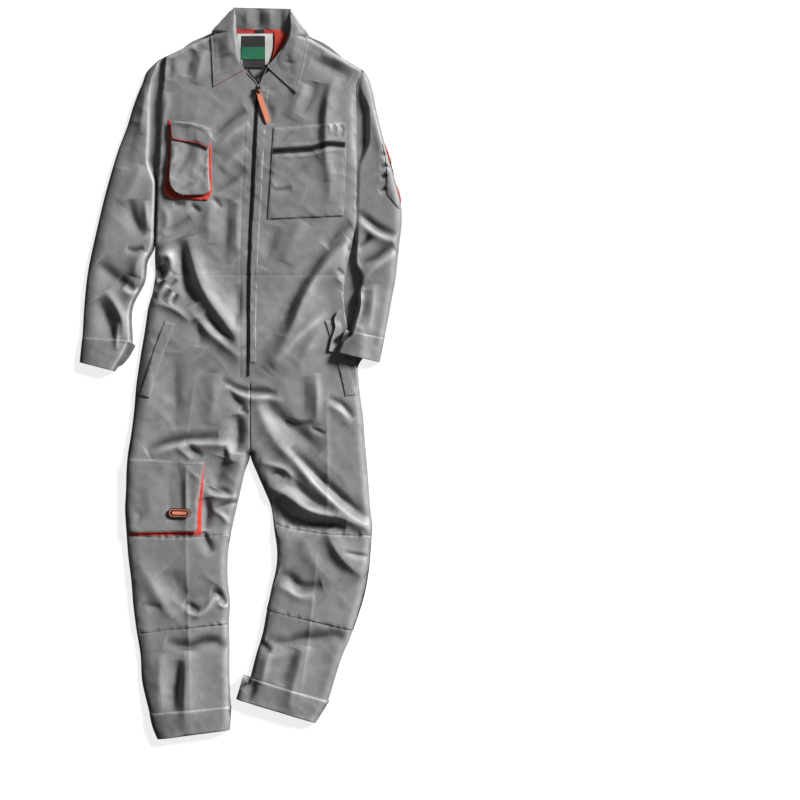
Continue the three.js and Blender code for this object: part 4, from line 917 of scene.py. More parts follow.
tube_of_cloth("turn_up_right", TURN_UP_RIGHT, body_top, flat_ground, 4.2, 2.4, "turn_up_right")
tube_of_cloth("turn_up_left", TURN_UP_LEFT, body_top, flat_ground, 4.2, 2.4, "turn_up_left")
tube_of_cloth("cuff_right", CUFF_RIGHT, right_sleeve_top, flat_ground, 2.2, 1.5, "cuff_right")
tube_of_cloth("cuff_left", CUFF_LEFT, left_sleeve_top, left_ground, 2.2, 1.5, "cuff_left")

# The open end of each cuff shows its under side beside the opening
CUFF_UNDER_RIGHT = [
    ((-245, 74), (-231, 61)),
    ((-261, 38), (-246, 35)),
    ((-280, 10), (-260, 19)),
]
CUFF_UNDER_LEFT = [
    ((217, 141), (230, 138)),
    ((207, 120), (221, 118)),
    ((209, 102), (223, 99)),
    ((201, 76), (215, 72)),
    ((195, 50), (208, 46)),
]
for name, table, left_height, right_height in (
    ("cuff_under_right", CUFF_UNDER_RIGHT, 2.2, 9.5),
    ("cuff_under_left", CUFF_UNDER_LEFT, 16.5, 9.5),
):
    x, y = plan(rows_of(table), 2.4)
    width = np.hypot(x[:, -1:] - x[:, :1], y[:, -1:] - y[:, :1])
    share = np.hypot(x - x[:, :1], y - y[:, :1]) / width
    z = left_height + (right_height - left_height) * share + 0.7 * soft_noise(x, y, 16, 5)
    cloth(name, x, y, z, grey_twill, [], tone=painted_shading(z))


# Sewn-on pieces: pockets, welts and knee panels
# Each is a cloth piece with turned edges, laid on a panel and topstitched. The
# stitching draws a groove inside the edge, and the cloth puckers around it.
def outline_of(x, y):
    """The left, top, right and bottom edge of a grid, each thinned to about 24 spans."""
    made = []
    for line in ((x[:, 0], y[:, 0]), (x[0], y[0]), (x[:, -1], y[:, -1]), (x[-1], y[-1])):
        line = np.stack(line, -1)
        step = max(1, len(line) // 24)
        made.append(np.vstack([line[:-1:step], line[-1]]))
    return made


def sewn_top(edges, base, lift, puff=0.0, radius=12, stitched=(1.8, 7.5), pucker=0.5, folds=(), thickness=1.1, seed=1, extra=None):
    """The height of a sewn-on piece as a function of the place on it."""

    def height(x, y):
        shape = np.ones(x.shape)
        edge = np.full(x.shape, np.inf)
        drawn = np.zeros(x.shape)
        for number, line in enumerate(edges):
            distance, along, _ = near(x, y, line)
            shape *= roll(distance, radius)
            edge = np.minimum(edge, distance)
            fade = np.exp(-((distance / 5.5) ** 2))
            drawn += pucker * fade * wave_along(along + 0.3 * distance, 8.5, seed + 7 * number)
        inside = np.clip(edge / 1.5, 0, 1)
        z = base(x, y) + thickness + (lift - thickness) * roll(edge, 1.4) + puff * shape
        z += (folds_on(x, y, folds) + drawn) * inside
        for inset in stitched:
            z -= 0.45 * np.exp(-(((edge - inset) / 0.9) ** 2))
        if extra is not None:
            z += extra(x, y) * inside
        return np.maximum(z, base(x, y) + thickness)

    return height


def sewn_on(name, table, base, nodes, rests_on, spacing=2.2, material=None, slot="grey_twill", thickness=1.1, **form):
    """Makes a sewn-on piece; gives its height function and its four edges for what is sewn to it."""
    x, y = plan(rows_of(table), spacing)
    edges = outline_of(x, y)
    top = sewn_top(edges, base, thickness=thickness, seed=len(name), **form)
    z = top(x, y)
    cloth(name, x, y, z, material or grey_twill, nodes, thickness=thickness, tone=painted_shading(z))
    return top, edges


def inset(line, distance, trim=None):
    """A line moved sideways, to the inside of a piece, and cut short at both ends."""
    run = np.gradient(line, axis=0)
    run /= np.hypot(*run.T)[:, None]
    moved = line + distance * np.stack([-run[:, 1], run[:, 0]], -1)
    place = np.concatenate([[0], np.cumsum(np.hypot(*np.diff(moved, axis=0).T))])
    trim = abs(distance) if trim is None else trim
    at = np.linspace(trim, place[-1] - trim, len(line))
    return np.stack([np.interp(at, place, moved[:, i]) for i in (0, 1)], -1)


def raised(top, height):
    return lambda x, y: top(x, y) + height


STITCH_PITCH = 3.4
STITCH_SIZE = (1.35, 0.42, 0.2)
stitch_lines = {}


def stitch(group, line, top, raised=0.12):
    """Notes a row of stitches along a line, to be made with the rest of its group."""
    stitch_lines.setdefault(group, []).append((np.asarray(line, float), top, raised))


def stitch_edges(group, edges, top, insets, sides="ltrb"):
    """Rows of stitches inside the named edges of a piece."""
    inward = {"l": 1, "t": -1, "r": -1, "b": 1}
    for side, line in zip("ltrb", edges):
        for distance in insets if side in sides else ():
            stitch(group, inset(line, inward[side] * distance), top)


KNEE_RIGHT = [
    ((-251, -356), (-21, -352)),
    ((-246, -406), (-28, -395)),
    ((-240, -463), (-30, -454)),
    ((-233, -516), (-25, -503)),
    ((-227, -571), (-27, -550)),
]
KNEE_LEFT = [
    ((76, -332), (289, -355)),
    ((82, -377), (286, -395)),
    ((79, -421), (282, -437)),
    ((69, -472), (271, -494)),
    ((57, -520), (248, -565)),
]
HIP_WELT_RIGHT = [
    ((-165, 116), (-144, 110)),
    ((-186, 62), (-165, 56)),
    ((-205, 3), (-185, -1)),
    ((-222, -48), (-200, -54)),
]
HIP_WELT_LEFT = [
    ((186, 116), (207, 119)),
    ((204, 61), (224, 65)),
    ((219, 6), (241, 10)),
    ((232, -50), (254, -47)),
]
for side, table, pucker in (("right", KNEE_RIGHT, 0.6), ("left", KNEE_LEFT, 0.9)):
    top, edges = sewn_on(
        f"knee_panel_{side}", table, body_top, [f"knee_panel_{side}"], [f"leg_front_{side}"],
        lift=1.5, radius=6, pucker=pucker, stitched=(2, 6), spacing=2.8,
    )
    stitch_edges("stitches_legs", edges, top, (2, 6), "tb")
for side, table in (("right", HIP_WELT_RIGHT), ("left", HIP_WELT_LEFT)):
    top, edges = sewn_on(
        f"hip_welt_{side}", table, body_top, [f"hip_welt_{side}"], [f"leg_front_{side}"],
        lift=2.6, radius=4, stitched=(2,), pucker=0.5,
    )
    stitch_edges("stitches_legs", edges, top, (2,))

# Chest pocket on the wearer's left, wide and flat, with a zip set into it
CHEST_POCKET_LEFT = [
    ((73, 541), (232, 553)),
    ((70, 492), (233, 501)),
    ((67, 437), (231, 448)),
    ((63, 382), (229, 393)),
    ((60, 339), (226, 346)),
]
POCKET_LEFT_FOLDS = [
    ("lip under the zip", [(74, 476), (151, 480), (197, 490), (230, 490)], 3, 4, 1.5),
    ("lip over the zip", [(74, 504), (151, 505), (197, 515), (230, 515)], 3, 3, 1.0),
    ("slant over the zip", [(113, 534), (96, 516), (76, 501)], 6, 5, -1.8),
    ("corner pucker", [(193, 549), (199, 538), (197, 527)], 3, 3, 2),
    ("corner pucker", [(208, 551), (215, 538), (212, 522)], 3, 3, 2),
    ("corner pucker", [(221, 549), (226, 534), (221, 518)], 3, 3, -2),
]
left_pocket_top, edges = sewn_on(
    "chest_pocket_left", CHEST_POCKET_LEFT, body_top, ["chest_pocket_left"], ["front_bodice_left"],
    lift=1.9, puff=1.2, stitched=(2.2,), pucker=0.75, folds=POCKET_LEFT_FOLDS,
)
stitch_edges("stitches_pockets", edges, left_pocket_top, (2.2,))
stitch_edges("stitches_pockets", edges, left_pocket_top, (7.5,), "b")

# Chest pocket on the wearer's right: a bellows pocket whose red gusset shows at its
# outer side and along its foot, with a flap edged in red over its mouth
red_cloth = twill("red_cloth", light=(0.74, 0.06, 0.035), dark=(0.34, 0.018, 0.014))
GUSSET_RIGHT = [
    ((-158, 558), (-64, 538)),
    ((-158, 507), (-64, 496)),
    ((-160, 463), (-64, 457)),
    ((-164, 428), (-63, 426)),
    ((-167, 408), (-62, 404)),
    ((-163, 393), (-66, 392)),
    ((-151, 385), (-72, 381)),
]
CHEST_POCKET_RIGHT = [
    ((-153, 549), (-67, 536)),
    ((-153, 512), (-69, 496)),
    ((-154, 470), (-69, 463)),
    ((-156, 430), (-68, 430)),
    ((-152, 411), (-65, 408)),
    ((-143, 399), (-69, 398)),
    ((-127, 391), (-81, 392)),
]
POCKET_RIGHT_FOLDS = [
    ("slanting hollow", [(-105, 505), (-116, 474), (-131, 448), (-146, 426)], 9, 7, -4.5),
    ("swell beside it", [(-87, 492), (-96, 459), (-107, 430)], 12, 8, 2.6),
    ("outer swell", [(-142, 501), (-144, 479), (-148, 457)], 6, 6, 2.2),
    ("foot hollow", [(-107, 419), (-120, 406), (-138, 397)], 5, 5, -2.4),
    ("foot swell", [(-91, 426), (-96, 410), (-107, 397)], 6, 6, 1.6),
    ("inner tuck", [(-69, 481), (-78, 470), (-76, 457)], 3, 3, -1.2),
    ("inner tuck", [(-69, 452), (-80, 441), (-76, 426)], 3, 3, -1.4),
]


def bellows(x, y):
    """The pocket stands off the chest towards its outer lower corner."""
    return 7.5 * ease(-x, 80, 150) * ease(-y, -560, -400) + 2.6 * ease(-y, -500, -400)


def over_gusset(x, y):
    return body_top(x, y) + 3.4


sewn_on(
    "chest_gusset_right", GUSSET_RIGHT, body_top, ["chest_gusset_right"], ["front_bodice_right"],
    lift=2.4, radius=6, stitched=(), pucker=0.8, material=red_cloth, slot="red_cloth",
    extra=lambda x, y: 3.2 * ease(-x, 125, 160) * ease(-y, -460, -395),
)
right_pocket_top, edges = sewn_on(
    "chest_pocket_right", CHEST_POCKET_RIGHT, over_gusset, ["chest_pocket_right"], ["chest_gusset_right"],
    lift=1.4, puff=1.8, radius=8, stitched=(), pucker=0.6, folds=POCKET_RIGHT_FOLDS, extra=bellows,
)
right_pocket_edges = edges
FLAP_RIGHT = [
    ((-152, 557), (-63, 537)),
    ((-151, 537), (-62, 518)),
    ((-148, 516), (-68, 494)),
]
FLAP_BOW = 4.0


def bowed(table, bow):
    """A plan whose rows are bowed upwards in the middle, as the flap's edges are."""
    x, y = plan(rows_of(table), 2.0)
    share = (x - x[:, :1]) / (x[:, -1:] - x[:, :1])
    return x, y + bow * np.sin(np.pi * np.clip(share, 0, 1)) - 0.45 * bow * np.sin(2 * np.pi * np.clip(share, 0, 1))


def over_pocket(x, y):
    return body_top(x, y) + 7.6 + 1.0 * ease(-y, -560, -510)


FLAP_FOLDS = [
    ("ridge under the stitching", [(-148, 551), (-122, 550), (-94, 542), (-67, 531)], 4, 4, 1.6),
    ("flap dent", [(-118, 542), (-120, 529), (-116, 514)], 4, 6, -2.2),
    ("flap swell", [(-91, 534), (-94, 518), (-89, 503)], 9, 7, 1.6),
]
x, y = bowed(FLAP_RIGHT, FLAP_BOW)
edges = outline_of(x, y)
flap_top = sewn_top(edges, over_pocket, 1.9, 0.6, 7, (2.2,), 0.5, FLAP_FOLDS, 1.5)
z = flap_top(x, y)
cloth("chest_flap_right", x, y, z, grey_twill, ["chest_flap_right"], thickness=1.5, tone=painted_shading(z))
flap_edges = edges
stitch_edges("stitches_pockets", edges, flap_top, (2.2,), "lt")
stitch_edges("stitches_pockets", edges, flap_top, (5,), "t")

# Thigh pocket on the wearer's right: a patch with a pressed pleat down its middle and
# a red gusset that shows at its inner side and along its foot
THIGH_GUSSET = [
    ((-247, -188), (-79, -197)),
    ((-250, -226), (-81, -230)),
    ((-250, -267), (-83, -272)),
    ((-248, -309), (-85, -311)),
    ((-245, -358), (-85, -355)),
]
THIGH_POCKET = [
    ((-247, -185), (-78, -194)),
    ((-250, -226), (-84, -230)),
    ((-251, -267), (-90, -272)),
    ((-249, -309), (-94, -311)),
    ((-246, -350), (-94, -347)),
]
THIGH_POCKET_FOLDS = [
    ("pleat hollow", [(-140, -188), (-140, -256), (-138, -340)], (9, 10), (11, 9), -5),
    ("pleat edge", [(-118, -195), (-118, -256), (-116, -331)], 7, 4, 2.6),
    ("pocket swell", [(-199, -212), (-199, -278), (-195, -331)], 20, 15, 2.2),
    ("pocket corner fold", [(-116, -204), (-102, -221), (-82, -234)], 6, 6, 2.2),
    ("inner fold", [(-82, -248), (-96, -272), (-98, -305)], 5, 6, 1.8),
    ("pocket dent", [(-234, -296), (-221, -314), (-230, -338)], 6, 6, -1.6),
]


def over_thigh_gusset(x, y):
    return body_top(x, y) + 2.8 + 2.8 * ease(x, -150, -85) + 1.6 * ease(-y, 300, 345)


sewn_on(
    "thigh_gusset", THIGH_GUSSET, body_top, ["thigh_gusset"], ["leg_front_right"],
    lift=2.0, radius=5, stitched=(), pucker=0.6, material=red_cloth, slot="red_cloth",
)
thigh_pocket_top, edges = sewn_on(
    "thigh_pocket", THIGH_POCKET, over_thigh_gusset, ["thigh_pocket"], ["thigh_gusset"],
    lift=1.6, puff=1.6, radius=9, stitched=(2.2, 8), pucker=0.55, folds=THIGH_POCKET_FOLDS, spacing=2.4,
)
stitch_edges("stitches_pockets", edges, thigh_pocket_top, (2.2,), "lrb")
stitch_edges("stitches_pockets", edges, thigh_pocket_top, (2.2, 8), "t")
thigh_pocket_edges = edges

# Sleeve pocket on the wearer's left, mostly turned out of sight, with its flap
SLEEVE_POCKET = [
    ((322, 454), (335, 451)),
    ((322, 426), (341, 422)),
    ((323, 398), (349, 395)),
    ((332, 384), (352, 378)),
    ((347, 364), (354, 362)),
]
SLEEVE_FLAP = [
    ((312, 506), (318, 504)),
    ((318, 483), (326, 480)),
    ((322, 457), (334, 453)),
]
sleeve_pocket_top, edges = sewn_on(
    "sleeve_pocket_left", SLEEVE_POCKET, left_sleeve_top, ["sleeve_pocket_left"], ["sleeve_top_left"],
    lift=1.6, puff=0.6, radius=5, stitched=(2,), pucker=0.5, spacing=1.8,
)
stitch_edges("stitches_sleeves", edges, sleeve_pocket_top, (2,), "l")
sewn_on(
    "sleeve_flap_left", SLEEVE_FLAP, raised(left_sleeve_top, 0.4), [], ["sleeve_pocket_left"],
    lift=1.8, radius=3, stitched=(), pucker=0.4, spacing=1.6,
)


# Collar and neck: two leaves that fall from the roll line, and the stand inside
# The leaves rise from the chest to the neck and turn over there. Behind them the
# stand slopes down to the neck tape, with the hanger loop and the label on it.
def across(x, y):
    """How far across its row each place of a grid is, from 0 on the left to 1 on the right."""
    width = np.hypot(x[:, -1:] - x[:, :1], y[:, -1:] - y[:, :1])
    return np.hypot(x - x[:, :1], y - y[:, :1]) / width


LEAF_RIGHT = [
    ((-24, 796), (-12, 803)),
    ((-45, 772), (-9, 778)),
    ((-64, 748), (-8, 754)),
    ((-63, 712), (-4, 723)),
    ((-61, 672), (0, 695)),
    ((-59, 631), (9, 669)),
]
LEAF_LEFT = [
    ((108, 801), (116, 792)),
    ((109, 771), (133, 767)),
    ((106, 745), (151, 740)),
    ((96, 721), (145, 698)),
    ((79, 697), (135, 657)),
    ((59, 675), (123, 616)),
]
LEAF_FOLDS = [
    ("hollow behind the right edge", [(-50, 734), (-47, 698), (-43, 663)], 10, 8, -2.2),
    ("right leaf crease", [(-56, 685), (-36, 696), (-14, 701)], 4, 4, -1.6),
    ("right leaf swell", [(-28, 756), (-25, 725), (-19, 694)], 10, 10, 2),
    ("left leaf swell", [(124, 756), (122, 721), (109, 685)], 12, 10, 2),
    ("left leaf dent", [(100, 703), (109, 681), (111, 654)], 7, 7, -1.8),
    ("left leaf crease", [(89, 690), (105, 683), (124, 685)], 3, 3, -1.2),
]
NECK_HEIGHT = [21, 24, 26, 25, 21, 14]
LEAF_THICK = 2.0


def leaf(name, table, neck_on_right):
    x, y = plan(rows_of(table), 1.9)
    from_edge = across(x, y) if neck_on_right else 1 - across(x, y)
    edge_x, edge_y = (x[:, :1], y[:, :1]) if neck_on_right else (x[:, -1:], y[:, -1:])
    low = body_top(edge_x, edge_y) + 2.6
    high = np.interp(np.linspace(0, 1, len(x)), np.linspace(0, 1, len(NECK_HEIGHT)), NECK_HEIGHT)[:, None]
    rise = np.sin(math.pi / 2 * np.clip(from_edge / 0.88, 0, 1))
    z = low + (high - low) * rise - 5 * np.clip((from_edge - 0.88) / 0.12, 0, 1) ** 2
    edges = outline_of(x, y)
    near_edge = np.minimum(near(x, y, edges[0 if neck_on_right else 2])[0], near(x, y, edges[3])[0])
    z += folds_on(x, y, LEAF_FOLDS) * np.clip(near_edge / 4, 0, 1) + 0.5 * soft_noise(x, y, 16, len(name))
    z += 0.35 * np.exp(-((near_edge / 4.5) ** 2)) * soft_noise(x, y, 5, 3)
    z -= 0.45 * np.exp(-(((near_edge - 6.5) / 1.0) ** 2)) + 1.2 * (1 - roll(near_edge, 1.6))
    z = np.maximum(z, body_top(x, y) + LEAF_THICK + 0.3)
    cloth(name, x, y, z, grey_twill, [name], thickness=LEAF_THICK, tone=painted_shading(z))

    def height(at_x, at_y):
        square = (x.ravel()[:, None] - at_x) ** 2 + (y.ravel()[:, None] - at_y) ** 2
        return z.ravel()[square.argmin(axis=0)]

    return height, edges


leaf_right_top, leaf_right_edges = leaf("collar_leaf_right", LEAF_RIGHT, True)
leaf_left_top, leaf_left_edges = leaf("collar_leaf_left", LEAF_LEFT, False)
stitch_edges("stitches_collar", leaf_right_edges, leaf_right_top, (6.5,), "lb")
stitch_edges("stitches_collar", leaf_left_edges, leaf_left_top, (6.5,), "rb")

STAND = [
    ((-16, 804), (112, 801)),
    ((-12, 780), (110, 776)),
    ((-9, 757), (111, 754)),
    ((-8, 747), (109, 743)),
]
STAND_FOLDS = [
    ("stand hollow", [(41, 802), (43, 780), (38, 756)], 7, 7, -4),
    ("stand swell", [(14, 802), (16, 780), (12, 756)], 12, 9, 3),
    ("stand swell", [(67, 800), (67, 778), (61, 756)], 9, 9, 3),
    ("stand hollow", [(89, 800), (91, 776), (87, 754)], 7, 7, -3),
]


def stand_top(x, y):
    return 9 + 12 * ease(y, 744, 806) + folds_on(x, y + 0 * x, STAND_FOLDS) + 0.4 * soft_noise(x, y, 12, 4)


x, y = plan(rows_of(STAND), 2.2)
z = stand_top(x, y)
cloth("collar_stand", x, y, z, grey_twill, ["collar_stand"], thickness=2.0, tone=painted_shading(z))

black_tape = twill("black_tape", light=(0.032, 0.032, 0.034), dark=(0.006, 0.006, 0.007), roughness=0.85)
label_white = twill("label_white", light=(0.78, 0.78, 0.75), dark=(0.5, 0.5, 0.48), roughness=0.6, bump=0.08)
label_black = twill("label_black", light=(0.04, 0.04, 0.042), dark=(0.012, 0.012, 0.013), roughness=0.6, bump=0.08)
label_green = twill("label_green", light=(0.03, 0.24, 0.12), dark=(0.01, 0.12, 0.06), roughness=0.55, bump=0.08)


def hanging_top(x, y):
    """The label hangs from the stand's foot and comes to lie on the back."""
    return 3.6 + 7.2 * ease(y, 690, 750) + 0.8 * soft_noise(x, y, 22, 9)


def flat_piece(name, table, top, material, nodes, thickness=0.8, spacing=1.8):
    x, y = plan(rows_of(table), spacing)
    z = top(x, y) + thickness
    return cloth(name, x, y, z, material, nodes, thickness=thickness, tone=painted_shading(z))


NECK_TAPE = [((-10, 758), (92, 757)), ((-9, 749), (91, 749))]
HANGER_LOOP = [((34, 757), (52, 757)), ((34, 743), (52, 743))]
NECK_LABEL = [((-7, 748), (71, 748)), ((-5, 716), (70, 716)), ((3, 681), (61, 681))]
LABEL_PANEL = [((2, 743), (54, 743)), ((2, 712), (54, 712)), ((6, 675), (54, 675))]
LABEL_BAND = [((2, 719), (54, 719)), ((2, 693), (54, 693))]
FACING_LEFT = [((75, 752), (105, 749)), ((74, 716), (97, 718)), ((65, 685), (80, 694)), ((52, 670), (65, 674))]
flat_piece("neck_facing_left", FACING_LEFT, raised(hanging_top, 0.6), red_cloth, ["neck_facing_left"], 1.0)
flat_piece("neck_label", NECK_LABEL, raised(hanging_top, 0.2), label_white, ["neck_label"], 0.6)
flat_piece("label_panel", LABEL_PANEL, raised(hanging_top, 0.9), label_black, [], 0.5)
flat_piece("label_band", LABEL_BAND, raised(hanging_top, 1.5), label_green, [], 0.5)
flat_piece("neck_tape", NECK_TAPE, raised(stand_top, 0.3), red_cloth, ["neck_tape"], 0.9)
flat_piece("hanger_loop", HANGER_LOOP, raised(stand_top, 1.6), black_tape, ["hanger_loop"], 1.3)

# Front closing: zip tapes, teeth and the placket that half covers them
# The closing runs a little to the wearer's right as it goes down, and ends in a bar
# of close stitches over the fork seam. Above the slider both tapes part into the V.
CLOSING = [
    (40, 624), (38, 602), (36, 575), (33, 509), (30, 443), (27, 382), (24, 327),
    (22, 272), (20, 217), (19, 162), (19, 85), (19, -6),
]
closing = smooth_line(CLOSING, 3)


def beside(line, first, last):
    """Rows along a line, between two distances to its left and right that change from end to end."""
    run = np.gradient(line, axis=0)
    run /= np.hypot(*run.T)[:, None]
    across_it = np.stack([-run[:, 1], run[:, 0]], -1)
    share = np.linspace(0, 1, len(line))[:, None]
    left = line + across_it * (first[0] + (first[1] - first[0]) * share)
    right = line + across_it * (last[0] + (last[1] - last[0]) * share)
    return [(tuple(a), tuple(b)) for a, b in zip(left[::2], right[::2])]


flat_piece("zip_tape_right", beside(closing, (-4.6, -3.6), (-0.15, -0.15)), raised(body_top, 0.3), black_tape, ["zip_tape_right"])
flat_piece("zip_tape_left", beside(closing, (0.15, 0.15), (6, 4)), raised(body_top, 0.3), black_tape, ["zip_tape_left"])
PLACKET_FOLDS = [
    ("placket wave", [(47, 492), (45, 459), (41, 426)], 6, 6, 1.2),
    ("placket wave", [(34, 245), (34, 219), (32, 193)], 6, 6, -1.2),
    ("placket wave", [(32, 122), (30, 96), (30, 65)], 5, 5, 1.2),
]
placket_top, edges = sewn_on(
    "front_placket", beside(closing, (3.2, 2.0), (22, 15)), raised(body_top, 0.5), ["front_placket"],
    ["front_bodice_left"], lift=2.0, radius=5, stitched=(15.5,), pucker=0.8, thickness=1.1, folds=PLACKET_FOLDS,
)
stitch_edges("stitches_bodice", edges, placket_top, (2.0,), "r")

TOOTH = (1.5, 0.62, 0.75)
TOOTH_PITCH = 2.5


def boxes_along(name, line, top, size, pitch, offset, material, raised_by, rows=2):
    """Small blocks in staggered rows along a line, joined into one piece."""
    line = np.asarray(line, float)
    place = np.concatenate([[0], np.cumsum(np.hypot(*np.diff(line, axis=0).T))])
    at = np.arange(pitch / 2, place[-1] - pitch / 2, pitch / rows)
    centre = np.stack([np.interp(at, place, line[:, i]) for i in (0, 1)], -1)
    run = np.stack([np.interp(at, place, np.gradient(line[:, i])) for i in (0, 1)], -1)
    run /= np.hypot(*run.T)[:, None]
    sideways = np.stack([-run[:, 1], run[:, 0]], -1)
    centre = centre + sideways * (offset * np.where(np.arange(len(at)) % 2, 1, -1))[:, None]
    z = top(centre[:, 0], centre[:, 1]) + raised_by
    corners = np.array([(i, j, k) for k in (-1, 1) for j in (-1, 1) for i in (-1, 1)], float) * size
    points = np.empty((len(at), 8, 3))
    points[..., :2] = centre[:, None] + sideways[:, None] * corners[None, :, :1] + run[:, None] * corners[None, :, 1:2]
    points[..., 2] = z[:, None] + corners[None, :, 2]
    block = np.array([(0, 1, 3, 2), (4, 6, 7, 5), (0, 4, 5, 1), (2, 3, 7, 6), (0, 2, 6, 4), (1, 5, 7, 3)])
    if np.linalg.det(np.array([[*sideways[0], 0], [*run[0], 0], [0, 0, 1]])) > 0:
        block = block[:, ::-1]
    faces = (np.arange(len(at))[:, None, None] * 8 + block).reshape(-1, 4)
    return new_piece(name, points.reshape(-1, 3), faces, material, [], sharp=20)


def hard(name, colour, roughness, metallic=0.0, grain=0.0):
    """Moulded or cast stuff with a slightly uneven surface."""
    material = bpy.data.materials.new(name)
    material.use_nodes = True
    nodes, links, shader = nodes_of(material)
    place = nodes.new("ShaderNodeTexCoord")
    mottle = nodes.new("ShaderNodeTexNoise")
    mottle.inputs["Scale"].default_value = 700
    mottle.inputs["Detail"].default_value = 4
    links.new(place.outputs["Object"], mottle.inputs["Vector"])
    ramp = nodes.new("ShaderNodeValToRGB")
    ramp.color_ramp.elements[0].position = 0.25
    ramp.color_ramp.elements[0].color = (*(0.78 * c for c in colour), 1)
    ramp.color_ramp.elements[1].position = 0.75
    ramp.color_ramp.elements[1].color = (*(min(1, 1.12 * c) for c in colour), 1)
    links.new(mottle.outputs["Fac"], ramp.inputs["Fac"])
    links.new(ramp.outputs["Color"], shader.inputs["Base Color"])
    bumped = nodes.new("ShaderNodeBump")
    bumped.inputs["Strength"].default_value = grain
    bumped.inputs["Distance"].default_value = 0.0003
    links.new(mottle.outputs["Fac"], bumped.inputs["Height"])
    links.new(bumped.outputs["Normal"], shader.inputs["Normal"])
    shader.inputs["Roughness"].default_value = roughness
    shader.inputs["Metallic"].default_value = metallic
    return material


black_metal = hard("black_metal", (0.035, 0.035, 0.037), 0.38, 0.6, 0.1)
orange_rubber = hard("orange_rubber", (0.82, 0.27, 0.15), 0.5, 0.0, 0.15)
stud_metal = hard("stud_metal", (0.11, 0.11, 0.115), 0.35, 0.85, 0.1)
for node, slot_material in (("zip_slider", black_metal), ("zip_pull_tab", orange_rubber), ("cuff_stud_right", stud_metal)):
    shown = bpy.data.objects.get(node)
    if shown is not None:
        shown.data.materials.clear()
        shown.data.materials.append(slot_material)

boxes_along("zip_teeth", closing, body_top, TOOTH, TOOTH_PITCH, 0.9, black_metal, 1.7)

# The pocket zip: a black tape with its own teeth, set between the pocket's lips
POCKET_ZIP = [(74, 490), (113, 492), (155, 495), (177, 501), (199, 505), (231, 503)]
pocket_zip = smooth_line(POCKET_ZIP, 4)
flat_piece("chest_zip_left", beside(pocket_zip, (6.4, 5.6), (-6.4, -5.6)), raised(left_pocket_top, 0.4), black_tape, ["chest_zip_left"])
boxes_along("pocket_zip_teeth", pocket_zip, left_pocket_top, TOOTH, TOOTH_PITCH, 0.9, black_metal, 1.7)

# Red and grey piping along the edges of pockets, flap, collar and V
PIPING_SIDES = 8


def cord(name, path, radius, material):
    """A round cord along points in space, closed at both ends."""
    path = np.asarray(path, float)
    run = np.gradient(path, axis=0)
    run /= np.linalg.norm(run, axis=1)[:, None]
    level = np.cross(run, (0, 0, 1))
    level /= np.linalg.norm(level, axis=1)[:, None]
    upright = np.cross(level, run)
    turn = np.linspace(0, 2 * math.pi, PIPING_SIDES, endpoint=False)
    taper = np.full(len(path), radius)
    taper[[0, -1]] = 0.35 * radius
    ring = level[:, None] * np.cos(turn)[None, :, None] + upright[:, None] * np.sin(turn)[None, :, None]
    points = path[:, None] + ring * taper[:, None, None]
    index = np.arange(points.shape[0] * PIPING_SIDES).reshape(-1, PIPING_SIDES)
    after = np.roll(index, -1, axis=1)
    faces = np.stack([index[:-1], index[1:], after[1:], after[:-1]], -1).reshape(-1, 4)
    caps = [(index[0, 0], index[0, i], index[0, i + 1], index[0, i + 1]) for i in range(1, PIPING_SIDES - 1)]
    caps += [(index[-1, 0], index[-1, i + 1], index[-1, i], index[-1, i]) for i in range(1, PIPING_SIDES - 1)]
    mesh = bpy.data.meshes.new(name)
    corners = [tuple(face) for face in faces] + [tuple(cap[:3]) for cap in caps]
    mesh.from_pydata([tuple(p * MM) for p in points.reshape(-1, 3)], [], corners)
    layer = mesh.uv_layers.new(name="grain")
    spot = points.reshape(-1, 3)[:, :2] * MM
    order = np.fromiter((v for face in corners for v in face), int)
    layer.data.foreach_set("uv", spot[order].astype(np.float32).ravel())
    attribute = mesh.attributes.new("tone", "FLOAT", "POINT")
    attribute.data.foreach_set("value", np.zeros(len(spot), np.float32))
    mesh.shade_smooth()
    mesh.materials.append(material)
    piece = bpy.data.objects.new(name, mesh)
    bpy.context.scene.collection.objects.link(piece)
    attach(piece, "suit")
    return piece


def edge_cord(name, line, top, drop, radius, material):
    """A cord along the edge of a piece, at the height of the piece there less a drop."""
    line = smooth_line(line, 3)
    height = top(line[:, 0], line[:, 1]) - drop
    return cord(name, np.column_stack([line, height]), radius, material)


left, _, right, bottom = right_pocket_edges
pocket_rim = np.vstack([left[:-1], bottom[:-1], right[::-1][:10]])
edge_cord("chest_pocket_piping", pocket_rim[::2], right_pocket_top, 0.3, 0.9, red_cloth)
edge_cord("chest_flap_piping", flap_edges[3][::3], flap_top, 0.3, 1.1, red_cloth)
edge_cord("chest_flap_end_piping", flap_edges[0][::3], flap_top, 0.3, 0.8, red_cloth)
left, _, right, bottom = thigh_pocket_edges
edge_cord("thigh_pocket_piping", np.vstack([right[:-1:2], bottom[::-3]]), thigh_pocket_top, 0.5, 0.9, red_cloth)
edge_cord("collar_piping", leaf_right_edges[3][::3], leaf_right_top, 1.6, 0.9, red_cloth)
edge_cord("sleeve_flap_piping", [(317, 506), (324, 486), (332, 461)], left_sleeve_top, -1.4, 1.9, red_cloth)
edge_cord("sleeve_pocket_piping", [(343, 416), (349, 396), (353, 376)], left_sleeve_top, -1.4, 1.9, red_cloth)


# The V above the slider: black tape along each front edge, and a light piping
def v_top(x, y):
    return 8.5 + 5.0 * ease(y, 625, 680)


